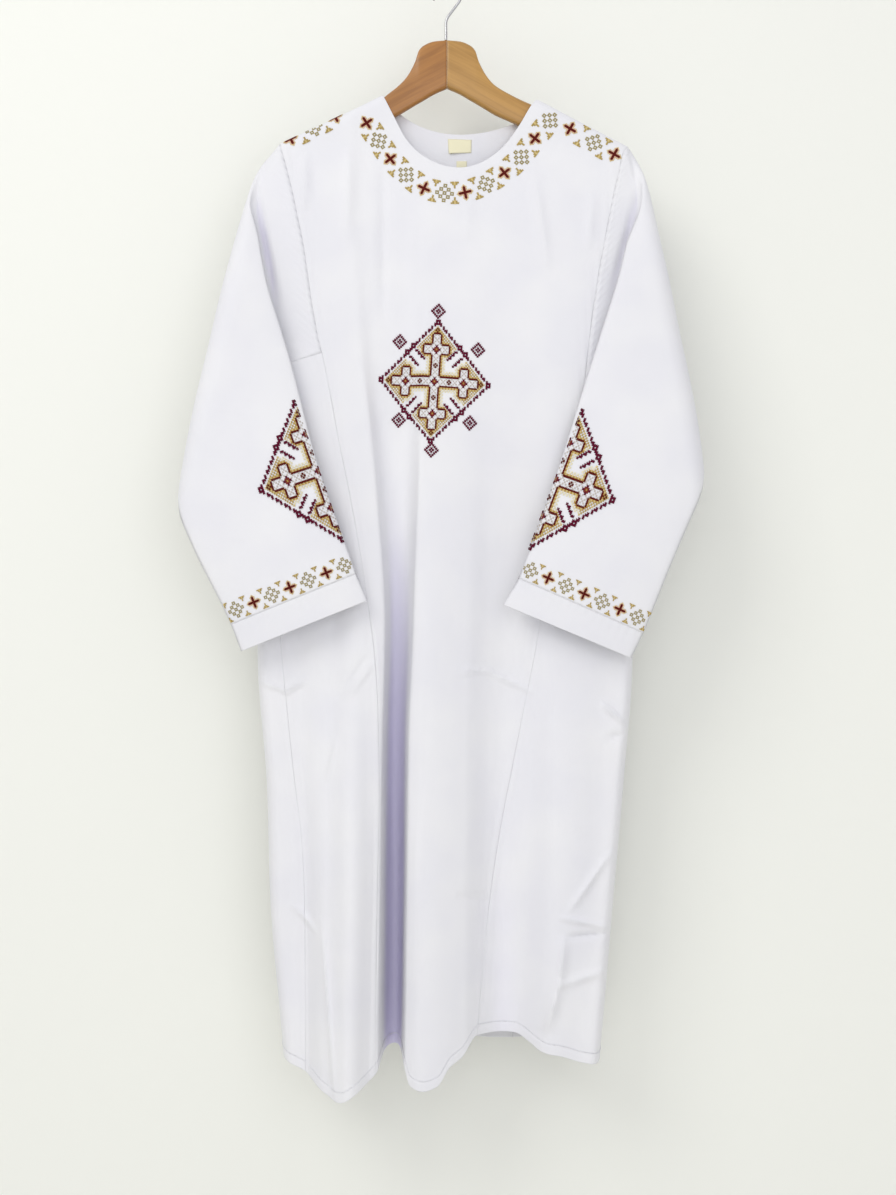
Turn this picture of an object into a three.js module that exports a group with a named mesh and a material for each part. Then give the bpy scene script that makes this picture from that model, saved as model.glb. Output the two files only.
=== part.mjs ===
// Deacon tunic hanging on a wooden hanger. Millimetres, +Z up, front faces -Y.
// The origin is the inner top of the hook, where the whole thing hangs.
import * as THREE from 'three';

// Cloth
const WALL = 1.5;
const SEAM_INSET = 0.3;

// Mesh steps along the seams
const ARMHOLE_SHARES = [0, 0.012, 0.035, 0.075, 0.15, 0.27, 0.4, 0.55, 0.7, 0.85, 1];
const CROSS_STEPS = 4;
const SKIRT_STEPS = 13;
const SHOULDER_STEPS = 4;
const FRONT_NECK_SHARES = [0, 0.025, 0.07, 0.14, 0.22, 0.31, 0.4, 0.5, 0.6, 0.69, 0.78, 0.86, 0.93, 0.975, 1];
const BACK_NECK_SHARES = [0, 0.03, 0.09, 0.2, 0.35, 0.5, 0.65, 0.8, 0.91, 0.97, 1];
const SLEEVE_STEPS = 19;
const FRONT_HEM_STEPS = 22;
const BACK_HEM_STEPS = 18;
const GORE_HEM_STEPS = 8;

// Rounding of the body where front and back meet
const SIDE_ROUND = 22;
const SHOULDER_ROUND = 15;
const ARMHOLE_FOOT = -470;
const ARMHOLE_RISE = 60;

// Sleeve fold
const FOLD_RADIUS_TOP = 9;
const FOLD_RADIUS = 18;
const SLEEVE_HALF_THICKNESS = 10;
const SLEEVE_DEPTH = -3;
const SLEEVE_LEAN = 20;

// Hanger and hook
const WOOD_HALF_THICKNESS = 6;
const WIRE_RADIUS = 1.75;
const HOOK_INNER_RADIUS = 16;
const ARM_LIFT_RIGHT = 4;
const HOOK_STEM_X = -1.3;
const HOOK_BEND_Z = -47;

const rows = (names, values) => {
  const keys = names.split(' ');
  return values.map((row) => Object.fromEntries(keys.map((key, i) => [key, row[i]])));
};

const clamp01 = (t) => Math.min(1, Math.max(0, t));
const smooth = (t) => clamp01(t) ** 2 * (3 - 2 * clamp01(t));
const mix = (a, b, t) => a + (b - a) * t;
const bell = (t, power) => (Math.abs(t) < 1 ? (1 - Math.abs(t) ** power) ** 2 : 0);
const rounded = (t) => Math.sqrt(1 - (1 - clamp01(t)) ** 2);

// Monotone cubic through (knots, values), flat beyond the ends
function curve(knots, values) {
  const flip = knots[0] > knots[knots.length - 1];
  const x = flip ? [...knots].reverse() : knots;
  const y = flip ? [...values].reverse() : values;
  const n = x.length;
  const slope = [];
  for (let i = 0; i < n - 1; i += 1) slope.push((y[i + 1] - y[i]) / (x[i + 1] - x[i]));
  const tangent = [slope[0]];
  for (let i = 1; i < n - 1; i += 1) {
    const same = slope[i - 1] * slope[i] > 0;
    tangent.push(same ? (2 * slope[i - 1] * slope[i]) / (slope[i - 1] + slope[i]) : 0);
  }
  tangent.push(slope[n - 2]);
  return (at) => {
    if (at <= x[0]) return y[0];
    if (at >= x[n - 1]) return y[n - 1];
    let i = 0;
    while (at > x[i + 1]) i += 1;
    const h = x[i + 1] - x[i];
    const t = (at - x[i]) / h;
    return (
      y[i] * (1 + 2 * t) * (1 - t) ** 2 + h * tangent[i] * t * (1 - t) ** 2
      + y[i + 1] * t * t * (3 - 2 * t) + h * tangent[i + 1] * t * t * (t - 1)
    );
  };
}

const column = (table, at, key) => curve(table.map((row) => row[at]), table.map((row) => row[key]));

// Silhouette of the body and depth of its front and back between folds, by height
const BODY = rows('z left right front back', [
  [-205, -209, 227, -11, 11],
  [-300, -210, 224, -17, 13],
  [-480, -215, 217, -22, 20],
  [-640, -226, 223, -26, 24],
  [-840, -237, 232, -33, 28],
  [-1010, -225, 220, -38, 31],
  [-1144, -221, 208, -42, 34],
  [-1285, -209, 196, -44, 36],
  [-1350, -203, 190, -45, 37],
]);
const LOWEST = BODY.at(-1).z;
const bodyLeft = column(BODY, 'z', 'left');
const bodyRight = column(BODY, 'z', 'right');
const bodyFront = column(BODY, 'z', 'front');
const bodyBack = column(BODY, 'z', 'back');

// Shoulder line, over the hanger
const RIDGE = rows('x z', [[-209, -203.5], [-158, -180], [-108, -156], [-81, -142.5], [0, -105], [60, -124],
  [113, -148], [149, -167], [197, -192], [226, -207]]);
const ridge = column(RIDGE, 'x', 'z');

// Heights at which the folds below are given
const FOLD_HEIGHTS = [-300, -480, -640, -800, -950, -1130, -1340];

// Folds of the front: centre line, how far each stands out, reach to both sides and how flat-topped it is
const FRONT_FOLDS = [
  { name: 'deep inverted fold', x: [-77, -72, -66, -60, -64, -66, -69],
    out: [-3, -8, -24, -43, -56, -66, -68],
    left: [44, 38, 27, 19, 17, 17, 17],
    right: [56, 50, 42, 34, 30, 30, 30], power: 2.4 },
  { name: 'lobe right of it', x: [-10, -12, -18, -24, -27, -28, -30],
    out: [0, 2, 8, 16, 22, 27, 29],
    left: [46, 46, 46, 44, 42, 42, 42],
    right: [70, 70, 72, 76, 78, 78, 76], power: 2 },
  { name: 'trough by the right seam', x: [80, 80, 78, 74, 72, 70, 70],
    out: [0, -2, -5, -10, -18, -25, -31],
    left: [50, 50, 50, 50, 50, 50, 50],
    right: [60, 60, 60, 60, 60, 62, 62], power: 2 },
  { name: 'edge left of the deep fold', x: [-100, -100, -98, -96, -99, -99, -100],
    out: [0, 1, 4, 10, 17, 24, 27],
    left: [50, 50, 50, 46, 46, 46, 46],
    right: [30, 30, 32, 36, 36, 36, 36], power: 2.6 },
  { name: 'ridge of the left gore', x: [-150, -150, -148, -142, -138, -134, -135],
    out: [0, 0, 1, 4, 12, 22, 28],
    left: [40, 40, 42, 46, 44, 40, 38],
    right: [50, 50, 50, 50, 48, 46, 44], power: 3 },
  { name: 'ridge of the right gore', x: [150, 150, 152, 150, 146, 138, 120],
    out: [0, 1, 4, 6, 9, 10, 6],
    left: [46, 46, 46, 46, 44, 40, 40],
    right: [50, 50, 52, 54, 52, 50, 50], power: 2 },
];

const BACK_FOLDS = [
  { name: 'left back fold', x: [-120, -120, -118, -116, -114, -112, -110],
    out: [0, 1, 3, 5, 8, 10, 11],
    left: [50, 50, 50, 50, 50, 50, 50],
    right: [44, 44, 44, 44, 44, 44, 44], power: 2 },
  { name: 'middle back fold', x: [10, 10, 8, 6, 4, 2, 0],
    out: [0, 1, 3, 5, 7, 8, 9],
    left: [60, 60, 60, 60, 60, 60, 60],
    right: [60, 60, 60, 60, 60, 60, 60], power: 2 },
  { name: 'right back fold', x: [118, 118, 120, 122, 124, 124, 124],
    out: [0, 1, 3, 5, 7, 9, 10],
    left: [44, 44, 44, 44, 44, 44, 44],
    right: [50, 50, 50, 50, 50, 50, 50], power: 2 },
];

const tracks = (folds) => folds.map((fold) => ({
  x: curve(FOLD_HEIGHTS, fold.x),
  out: curve(FOLD_HEIGHTS, fold.out),
  left: curve(FOLD_HEIGHTS, fold.left),
  right: curve(FOLD_HEIGHTS, fold.right),
  power: fold.power,
}));
const frontTracks = tracks(FRONT_FOLDS);
const backTracks = tracks(BACK_FOLDS);

function folded(list, x, z) {
  return list.reduce((sum, fold) => {
    const offset = x - fold.x(z);
    return sum + fold.out(z) * bell(offset / (offset < 0 ? fold.left(z) : fold.right(z)), fold.power);
  }, 0);
}

// 0 at the silhouette and on the shoulder line, 1 inside; the sides stay open along the armholes
function closing(x, z) {
  const side = Math.min(x - bodyLeft(z), bodyRight(z) - x) / SIDE_ROUND;
  const top = (ridge(x) - z) / SHOULDER_ROUND;
  const armhole = smooth((z - ARMHOLE_FOOT) / ARMHOLE_RISE);
  return Math.max(rounded(side), armhole) * rounded(top);
}

const frontDepth = (x, z) => (bodyFront(z) - folded(frontTracks, x, z)) * closing(x, z);
const backDepth = (x, z) => (bodyBack(z) + folded(backTracks, x, z)) * closing(x, z);

// The body unrolled: past a silhouette the same coordinate runs on over the back
function onFront(p, z) {
  if (p < bodyLeft(z)) return new THREE.Vector3(2 * bodyLeft(z) - p, backDepth(2 * bodyLeft(z) - p, z), z);
  if (p > bodyRight(z)) return new THREE.Vector3(2 * bodyRight(z) - p, backDepth(2 * bodyRight(z) - p, z), z);
  return new THREE.Vector3(p, frontDepth(p, z), z);
}
const onBack = (p, z) => new THREE.Vector3(-p, backDepth(-p, z), z);

// Seams, from the shoulder down
const ARMHOLE = {
  left: rows('z x', [[-203.5, -209], [-225, -203], [-259, -194], [-298, -185.5],
    [-341, -177], [-397, -169], [-448, -160], [-469, -155]]),
  right: rows('z x', [[-207, 226], [-222, 218], [-246, 213], [-283, 204.5],
    [-315, 198.5], [-360, 190], [-420, 180.5], [-500, 171]]),
};
const UNDERARM = { left: [-215, -487], right: [216, -509] };
const PRINCESS = {
  left: rows('z x', [[-469, -155], [-512, -146], [-593, -131], [-660, -117], [-716, -107],
    [-768, -99], [-847, -88], [-909, -84], [-1009, -82], [-1131, -84], [-1338, -86]]),
  right: rows('z x', [[-500, 171], [-600, 152], [-800, 116], [-874, 102],
    [-967, 84], [-1080, 63], [-1181, 49], [-1315, 37]]),
};
const BACK_PRINCESS = {
  left: rows('z x', [[-469, -155], [-800, -118], [-1333, -88]]),
  right: rows('z x', [[-500, 171], [-800, 118], [-1333, 84]]),
};
const SIDE_SEAM = {
  left: rows('z x', [[-487, -215], [-640, -214], [-825, -205], [-884, -199],
    [-979, -189], [-1084, -177], [-1157, -174], [-1345, -173]]),
};

// Hem heights along the front and the back
const FRONT_HEM = column(rows('x z', [[-205, -1336], [-175, -1350], [-166, -1357], [-148, -1369],
  [-131, -1376], [-109, -1365], [-87, -1348], [-78, -1337], [-62, -1336], [-52, -1343],
  [-45, -1362], [-29, -1367], [-12, -1362], [3, -1341], [18, -1331], [36, -1310], [52, -1311],
  [85, -1312], [102, -1320], [116, -1328], [138, -1332], [166, -1341], [192, -1345]]), 'x', 'z');
const BACK_HEM = column(rows('x z', [[-205, -1336], [-120, -1336], [0, -1334], [80, -1334], [140, -1337],
  [192, -1345]]), 'x', 'z');

// Neck edges from left to right
const FRONT_NECK = rows('x z', [[-81, -142.5], [-66, -172], [-50, -201], [-29, -222], [-4, -234],
  [19, -236.5], [41, -231], [65, -215], [91, -182], [106, -157], [113, -148]]);
const BACK_NECK = rows('x z', [[-81, -142.5], [-52, -168], [-35, -177.5], [-11, -185.5], [15, -188.5],
  [42, -186.5], [68, -180.5], [91, -172], [113, -148]]);

// Points at given shares of the way along a polyline of [p, z] pairs
function along(points, shares) {
  const lengths = [0];
  for (let i = 1; i < points.length; i += 1) {
    const run = Math.hypot(points[i][0] - points[i - 1][0], points[i][1] - points[i - 1][1]);
    lengths.push(lengths[i - 1] + run);
  }
  const total = lengths[lengths.length - 1];
  return shares.map((share) => {
    const at = total * share;
    let i = 1;
    while (i < points.length - 1 && lengths[i] < at) i += 1;
    const t = (at - lengths[i - 1]) / (lengths[i] - lengths[i - 1]);
    return [mix(points[i - 1][0], points[i][0], t), mix(points[i - 1][1], points[i][1], t)];
  });
}

const evenly = (points, steps) => along(points, Array.from({ length: steps + 1 }, (_, k) => k / steps));

// A seam given by its x at each height, as steps down it
function downSeam(table, bottom, shares) {
  const at = column(table, 'z', 'x');
  const top = table[0].z;
  const fine = Array.from({ length: 121 }, (_, i) => mix(top, bottom, i / 120)).map((z) => [at(z), z]);
  return along(fine, shares);
}
const SKIRT_SHARES = Array.from({ length: SKIRT_STEPS + 1 }, (_, k) => k / SKIRT_STEPS);

// A neck edge as a smooth run through its table
function neckEdge(table, shares) {
  const knots = table.map((row) => new THREE.Vector3(row.x, 0, row.z));
  const line = new THREE.CatmullRomCurve3(knots, false, 'centripetal');
  return along(line.getPoints(160).map((point) => [point.x, point.z]), shares);
}

// The shoulder line from one x to another
function shoulder(from, to, steps) {
  return evenly(Array.from({ length: 41 }, (_, i) => mix(from, to, i / 40)).map((x) => [x, ridge(x)]), steps)
    .map(([x]) => [x, ridge(x)]);
}

const join = (...parts) => parts.flatMap((part, i) => (i === 0 ? part : part.slice(1)));
const mirrorBack = (pairs) => pairs.map(([x, z]) => [-x, z]);
const aroundLeft = (pairs) => pairs.map(([x, z]) => [2 * bodyLeft(z) - x, z]);
const aroundRight = (pairs) => pairs.map(([x, z]) => [2 * bodyRight(z) - x, z]);

function seamsOf(side) {
  const armhole = downSeam(ARMHOLE[side], ARMHOLE[side].at(-1).z, ARMHOLE_SHARES);
  const corner = armhole.at(-1);
  const cross = evenly([corner, UNDERARM[side]], CROSS_STEPS);
  const princessEnd = FRONT_HEM(PRINCESS[side].at(-1).x);
  const princess = downSeam(PRINCESS[side], princessEnd, SKIRT_SHARES);
  const backEnd = BACK_HEM(BACK_PRINCESS[side].at(-1).x);
  const backPrincess = downSeam(BACK_PRINCESS[side], backEnd, SKIRT_SHARES);
  return { armhole, cross, princess, backPrincess };
}
const left = seamsOf('left');
const right = seamsOf('right');
left.side = downSeam(SIDE_SEAM.left, FRONT_HEM(SIDE_SEAM.left.at(-1).x), SKIRT_SHARES);
left.side[0] = left.cross.at(-1);
const rightEdge = Array.from({ length: 121 }, (_, i) => mix(UNDERARM.right[1], FRONT_HEM(190), i / 120));
right.side = evenly(rightEdge.map((z) => [bodyRight(z), z]), SKIRT_STEPS);
right.side[0] = right.cross.at(-1);

// Blend of four edges in the unrolled body, spaced by true arc length away from the top edge
function panelGrid({ top, bottom, leftEdge, rightEdge, place, straightTop }) {
  const across = top.length - 1;
  const down = leftEdge.length - 1;
  const runs = [leftEdge, rightEdge].map((edge) => {
    const run = [0];
    for (let i = 1; i <= down; i += 1) {
      run.push(run[i - 1] + Math.hypot(edge[i][0] - edge[i - 1][0], edge[i][1] - edge[i - 1][1]));
    }
    return run.map((length) => length / run[down]);
  });
  const sample = (edge, t) => {
    const at = clamp01(t) * (edge.length - 1);
    const i = Math.min(edge.length - 2, Math.floor(at));
    return [mix(edge[i][0], edge[i + 1][0], at - i), mix(edge[i][1], edge[i + 1][1], at - i)];
  };
  const blend = (u, v, i) => {
    const t = sample(top, u);
    const b = sample(bottom, u);
    return [0, 1].map((axis) => mix(t[axis], b[axis], v) + mix(leftEdge[i][axis], rightEdge[i][axis], u)
      - mix(mix(top[0][axis], top[across][axis], u), mix(bottom[0][axis], bottom.at(-1)[axis], u), v));
  };
  const grid = [];
  for (let i = 0; i <= down; i += 1) {
    const v = (runs[0][i] + runs[1][i]) / 2;
    const fine = Array.from({ length: 161 }, (_, k) => place(...blend(k / 160, v, i)));
    const length = [0];
    for (let k = 1; k <= 160; k += 1) length.push(length[k - 1] + fine[k].distanceTo(fine[k - 1]));
    const evenness = smooth(v / 0.3);
    const line = [];
    let k = 1;
    for (let j = 0; j <= across; j += 1) {
      const wanted = (length[160] * j) / across;
      while (k < 160 && length[k] < wanted) k += 1;
      const even = (k - 1 + (wanted - length[k - 1]) / (length[k] - length[k - 1] || 1)) / 160;
      line.push(place(...blend(mix(j / across, even, evenness), v, i)));
    }
    line[0] = place(...leftEdge[i]);
    line[across] = place(...rightEdge[i]);
    if (i === 0) top.forEach((pair, j) => { line[j] = place(...pair); });
    if (i === 0 && straightTop) {
      for (let j = 1; j < across; j += 2) line[j] = line[j - 1].clone().lerp(line[j + 1], 0.5);
    }
    grid.push(line);
  }
  return grid;
}

// Sleeves: the flat tube laid out along the fold line. "along" runs down the fold line from its tip,
// "out" runs away from the body; t is the top centre line and o the underarm line.
const SLEEVE = {
  left: {
    tip: [-250, -252],
    end: [-335, -627],
    rows: rows('s tAlong tOut oAlong oOut', [
      [0, -57, -2, 221, -59],
      [0.06, -27, 14, 227, -45],
      [0.25, 70, 64, 300, -20],
      [0.5, 200, 130, 385, 20],
      [0.75, 325, 196, 462, 74],
      [1, 448, 274, 542, 139],
      [1.07, 477, 294, 571, 158],
    ]),
  },
  right: {
    tip: [250, -241],
    end: [322, -604],
    rows: rows('s tAlong tOut oAlong oOut', [
      [0, -36, 11, 255, -57],
      [0.06, -6, 27, 259, -40],
      [0.25, 90, 76, 322, -15],
      [0.5, 220, 144, 392, 36],
      [0.75, 345, 214, 478, 97],
      [1, 466, 288, 561, 152],
      [1.07, 494, 312, 588, 172],
    ]),
  },
};

function foldFrame({ tip, end }) {
  const along = new THREE.Vector2(end[0] - tip[0], end[1] - tip[1]).normalize();
  const outward = new THREE.Vector2(-along.y, along.x);
  if (outward.x * tip[0] < 0) outward.negate();
  return { along, outward, tip: new THREE.Vector2(...tip) };
}

const foldRadius = (along) => mix(FOLD_RADIUS_TOP, FOLD_RADIUS, smooth(along / 150));

// Bends the flat tube forward over the fold line; "behind" is the layer's offset from the tube's middle
function bend(frame, along, out, behind) {
  const radius = foldRadius(along);
  const arc = Math.PI * radius;
  const start = -(radius + SLEEVE_HALF_THICKNESS);
  let across = start + out;
  let depth = SLEEVE_DEPTH + behind;
  if (out > arc) {
    across = start - (out - arc);
    depth = SLEEVE_DEPTH - 2 * radius - behind;
  } else if (out > 0) {
    const angle = out / radius;
    across = start + (radius + behind) * Math.sin(angle);
    depth = SLEEVE_DEPTH - radius + (radius + behind) * Math.cos(angle);
  }
  const x = frame.tip.x + frame.along.x * along + frame.outward.x * across;
  const z = frame.tip.y + frame.along.y * along + frame.outward.y * across;
  const lean = SLEEVE_LEAN * smooth((-z - 430) / 330) * clamp01(out / arc);
  return new THREE.Vector3(x, depth - lean, z);
}

// The flat layout coordinates of a point on the unbent part
function flatten(frame, x, z) {
  const dx = x - frame.tip.x;
  const dz = z - frame.tip.y;
  const along = dx * frame.along.x + dz * frame.along.y;
  const across = dx * frame.outward.x + dz * frame.outward.y;
  return { along, out: across + foldRadius(along) + SLEEVE_HALF_THICKNESS };
}

function sleeveRings(side, seams) {
  const shape = SLEEVE[side];
  const frame = foldFrame(shape);
  const keys = ['tAlong', 'tOut', 'oAlong', 'oOut'];
  const edges = Object.fromEntries(keys.map((key) => [key, column(shape.rows, 's', key)]));
  const rim = join(seams.armhole, seams.cross);
  const half = rim.length - 1;
  const flatRim = rim.map(([x, z]) => flatten(frame, x, z));
  const line = (s, q) => ({
    along: mix(edges.tAlong(s), edges.oAlong(s), q),
    out: mix(edges.tOut(s), edges.oOut(s), q),
  });
  const point = (s, i, behindSign) => {
    const q = i / half;
    const rimShare = (1 - clamp01(s / 0.25)) ** 2;
    const straight = line(s, q);
    const base = line(0, q);
    const along = straight.along + (flatRim[i].along - base.along) * rimShare;
    const out = straight.out + (flatRim[i].out - base.out) * rimShare;
    const thin = Math.sqrt(Math.sin(Math.PI * q));
    const plump = SLEEVE_HALF_THICKNESS * mix(0.8, 1, smooth(s / 0.5)) * thin;
    const [x, z] = rim[i];
    const rimDepth = (behindSign < 0 ? frontDepth(x, z) : backDepth(x, z)) - SLEEVE_DEPTH;
    return bend(frame, along, out, mix(behindSign * plump, rimDepth, rimShare));
  };
  const ring = (s) => [
    ...Array.from({ length: half + 1 }, (_, i) => point(s, i, -1)),
    ...Array.from({ length: half - 1 }, (_, i) => point(s, half - 1 - i, 1)),
  ];
  const first = [
    ...rim.map(([x, z]) => new THREE.Vector3(x, frontDepth(x, z), z)),
    ...rim.slice(1, -1).reverse().map(([x, z]) => new THREE.Vector3(x, backDepth(x, z), z)),
  ];
  const body = [first, ...Array.from({ length: SLEEVE_STEPS }, (_, k) => ring((k + 1) / SLEEVE_STEPS))];
  const cuff = [ring(1), ring(1.035), ring(1.07)];
  return { body, cuff };
}

// Every sheet of cloth, as rows of points on its outer face
const place = onFront;
const hemOfFront = (x) => [x, FRONT_HEM(x)];
const hemOfBack = (x) => [x, BACK_HEM(x)];
const leftShoulder = shoulder(ARMHOLE.left[0].x, FRONT_NECK[0].x, SHOULDER_STEPS);
const rightShoulder = shoulder(FRONT_NECK.at(-1).x, ARMHOLE.right[0].x, SHOULDER_STEPS);
const frontTop = join(leftShoulder, neckEdge(FRONT_NECK, FRONT_NECK_SHARES), rightShoulder);
const backTop = join(leftShoulder, neckEdge(BACK_NECK, BACK_NECK_SHARES), rightShoulder);
function spaced(from, to, count, toPair) {
  return Array.from({ length: count + 1 }, (_, i) => toPair(mix(from, to, i / count)));
}
const endOf = (seam) => seam.at(-1)[0];
const frontHem = spaced(endOf(left.princess), endOf(right.princess), FRONT_HEM_STEPS, hemOfFront);
const backHem = spaced(endOf(left.backPrincess), endOf(right.backPrincess), BACK_HEM_STEPS, hemOfBack);

const leftSleeve = sleeveRings('left', left);
const rightSleeve = sleeveRings('right', right);

const doubled = (pairs) => join(...pairs.slice(1).map((pair, i) => evenly([pairs[i], pair], 2)));
const leftGoreHem = spaced(endOf(left.side), endOf(left.princess), GORE_HEM_STEPS, hemOfFront);
const rightGoreHem = spaced(endOf(right.princess), endOf(right.side), GORE_HEM_STEPS, hemOfFront);
const leftBackHem = [
  ...aroundLeft(spaced(endOf(left.backPrincess), bodyLeft(LOWEST), 5, hemOfBack)),
  ...spaced(bodyLeft(LOWEST) + 5, endOf(left.side), 2, hemOfFront),
];
const rightBackHem = aroundRight(
  spaced(bodyRight(LOWEST), endOf(right.backPrincess), GORE_HEM_STEPS, hemOfBack),
);
rightBackHem[0] = right.side.at(-1);

const sheets = {
  front_panel: {
    grid: panelGrid({
      place,
      top: frontTop,
      bottom: frontHem,
      leftEdge: join(left.armhole, left.princess),
      rightEdge: join(right.armhole, right.princess),
    }),
  },
  back_panel: {
    grid: panelGrid({
      place: onBack,
      top: mirrorBack(backTop).reverse(),
      bottom: mirrorBack(backHem).reverse(),
      leftEdge: mirrorBack(join(right.armhole, right.backPrincess)),
      rightEdge: mirrorBack(join(left.armhole, left.backPrincess)),
    }),
  },
  gore_front_left: {
    straightTop: true,
    grid: panelGrid({
      place,
      straightTop: true,
      top: doubled([...left.cross].reverse()),
      bottom: leftGoreHem,
      leftEdge: left.side,
      rightEdge: left.princess,
    }),
  },
  gore_front_right: {
    straightTop: true,
    grid: panelGrid({
      place,
      straightTop: true,
      top: doubled(right.cross),
      bottom: rightGoreHem,
      leftEdge: right.princess,
      rightEdge: right.side,
    }),
  },
  gore_back_left: {
    straightTop: true,
    grid: panelGrid({
      place,
      straightTop: true,
      top: doubled(aroundLeft(left.cross)),
      bottom: leftBackHem,
      leftEdge: aroundLeft(left.backPrincess),
      rightEdge: left.side,
    }),
  },
  gore_back_right: {
    straightTop: true,
    grid: panelGrid({
      place,
      straightTop: true,
      top: doubled(aroundRight([...right.cross].reverse())),
      bottom: rightBackHem,
      leftEdge: right.side,
      rightEdge: aroundRight(right.backPrincess),
    }),
  },
  sleeve_left: { grid: leftSleeve.body, ring: true },
  sleeve_right: { grid: rightSleeve.body, ring: true, flip: true },
  cuff_band_left: { grid: leftSleeve.cuff, ring: true },
  cuff_band_right: { grid: rightSleeve.cuff, ring: true, flip: true },
};

// Outward direction at each point, shared where sheets meet
const keyOf = (p) => [p.x, p.y, p.z].map((value) => Math.round(value * 20)).join();
const outwardAt = new Map();
function addNormals({ grid, ring, flip }) {
  const height = grid.length;
  const width = grid[0].length;
  for (let i = 0; i < height; i += 1) {
    for (let j = 0; j < width; j += 1) {
      const before = ring ? grid[i][(j + width - 1) % width] : grid[i][Math.max(0, j - 1)];
      const after = ring ? grid[i][(j + 1) % width] : grid[i][Math.min(width - 1, j + 1)];
      const across = after.clone().sub(before);
      const down = grid[Math.min(height - 1, i + 1)][j].clone().sub(grid[Math.max(0, i - 1)][j]);
      const normal = down.cross(across).normalize();
      if (flip) normal.negate();
      const key = keyOf(grid[i][j]);
      if (!outwardAt.has(key)) outwardAt.set(key, new THREE.Vector3());
      outwardAt.get(key).add(normal);
    }
  }
}
Object.values(sheets).forEach(addNormals);

// Closes a sheet into a wall: the outer face, the inner face and the rims between them
function wall({ grid, ring, flip, straightTop }) {
  const height = grid.length;
  const width = grid[0].length;
  const outer = [];
  const inner = [];
  for (let i = 0; i < height; i += 1) {
    for (let j = 0; j < width; j += 1) {
      const point = grid[i][j].clone();
      const outward = outwardAt.get(keyOf(point)).clone().normalize();
      if (straightTop && i === 0 && j % 2 === 1) {
        outward.copy(outwardAt.get(keyOf(grid[0][j - 1]))).normalize();
        outward.add(outwardAt.get(keyOf(grid[0][j + 1])).clone().normalize()).normalize();
      }
      const pull = new THREE.Vector3();
      if (i === 0) pull.add(grid[1][j].clone().sub(point).normalize());
      if (i === height - 1) pull.add(grid[i - 1][j].clone().sub(point).normalize());
      if (!ring && j === 0) pull.add(grid[i][1].clone().sub(point).normalize());
      if (!ring && j === width - 1) pull.add(grid[i][j - 1].clone().sub(point).normalize());
      point.addScaledVector(pull, SEAM_INSET);
      outer.push(point);
      inner.push(point.clone().addScaledVector(outward, -WALL));
    }
  }
  const positions = [...outer, ...inner];
  const count = outer.length;
  const faces = [];
  const quad = (a, b, c, d) => {
    if (flip) faces.push(a, c, b, a, d, c);
    else faces.push(a, b, c, a, c, d);
  };
  const id = (i, j) => i * width + (j % width);
  const columns = ring ? width : width - 1;
  for (let i = 0; i < height - 1; i += 1) {
    for (let j = 0; j < columns; j += 1) {
      const [a, b, c, d] = [id(i, j), id(i + 1, j), id(i + 1, j + 1), id(i, j + 1)];
      quad(a, b, c, d);
      quad(c + count, b + count, a + count, d + count);
    }
  }
  const rim = (a, b) => quad(a, b, b + count, a + count);
  for (let j = 0; j < columns; j += 1) {
    rim(id(0, j), id(0, j + 1));
    rim(id(height - 1, j + 1), id(height - 1, j));
  }
  if (!ring) {
    for (let i = 0; i < height - 1; i += 1) {
      rim(id(i + 1, 0), id(i, 0));
      rim(id(i, width - 1), id(i + 1, width - 1));
    }
  }
  return solidFrom(positions, faces);
}

function solidFrom(points, faces) {
  const geometry = new THREE.BufferGeometry();
  const values = points.flatMap((p) => [p.x, p.y, p.z]);
  geometry.setAttribute('position', new THREE.Float32BufferAttribute(values, 3));
  geometry.setIndex(faces);
  geometry.computeVertexNormals();
  return geometry;
}

// Closed loft through sections of equal point count, capped at both ends
function loft(sections) {
  const size = sections[0].length;
  const points = sections.flat();
  const faces = [];
  for (let i = 0; i < sections.length - 1; i += 1) {
    for (let j = 0; j < size; j += 1) {
      const a = i * size + j;
      const b = i * size + ((j + 1) % size);
      faces.push(a, b, b + size, a, b + size, a + size);
    }
  }
  const last = (sections.length - 1) * size;
  for (let j = 1; j < size - 1; j += 1) {
    faces.push(0, j + 1, j, last, last + j, last + j + 1);
  }
  return solidFrom(points, faces);
}

// Hanger arms
const ARM = rows('x top bottom', [[0.1, -74, -134], [16, -75.5, -141], [28, -80, -148],
  [35, -86.5, -152], [40, -101, -155], [50, -119.5, -161], [60, -130.5, -167], [80, -154.5, -179],
  [106, -159, -189], [150, -180.6, -205.5], [190, -199, -217.5], [202, -205.6, -219.5], [207, -210, -217]]);
const WOOD_CORNERS = [[-1, 0.5], [-0.92, 0.8], [-0.5, 1], [0.5, 1], [0.92, 0.8], [1, 0.5]];

function hangerArm(sign, lift) {
  const sections = ARM.map((row) => {
    const { x } = row;
    const raised = lift * smooth((x - 90) / 60);
    const top = row.top + raised;
    const bottom = row.bottom + raised;
    const middle = (top + bottom) / 2;
    const round = Math.min(WOOD_HALF_THICKNESS, (top - bottom) / 2);
    const corner = (y, z) => new THREE.Vector3(sign * x, sign * y * WOOD_HALF_THICKNESS, z);
    const upper = WOOD_CORNERS.map(([y, rise]) => corner(y, top - round * (1 - rise) * 1.6));
    const lower = WOOD_CORNERS.map(([y, rise]) => corner(-y, bottom + round * (1 - rise) * 1.2));
    return [...upper, ...lower].map((p) => (Math.abs(p.z - middle) < 0.01 ? p.setZ(middle) : p));
  });
  return loft(sections.reverse());
}

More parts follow.
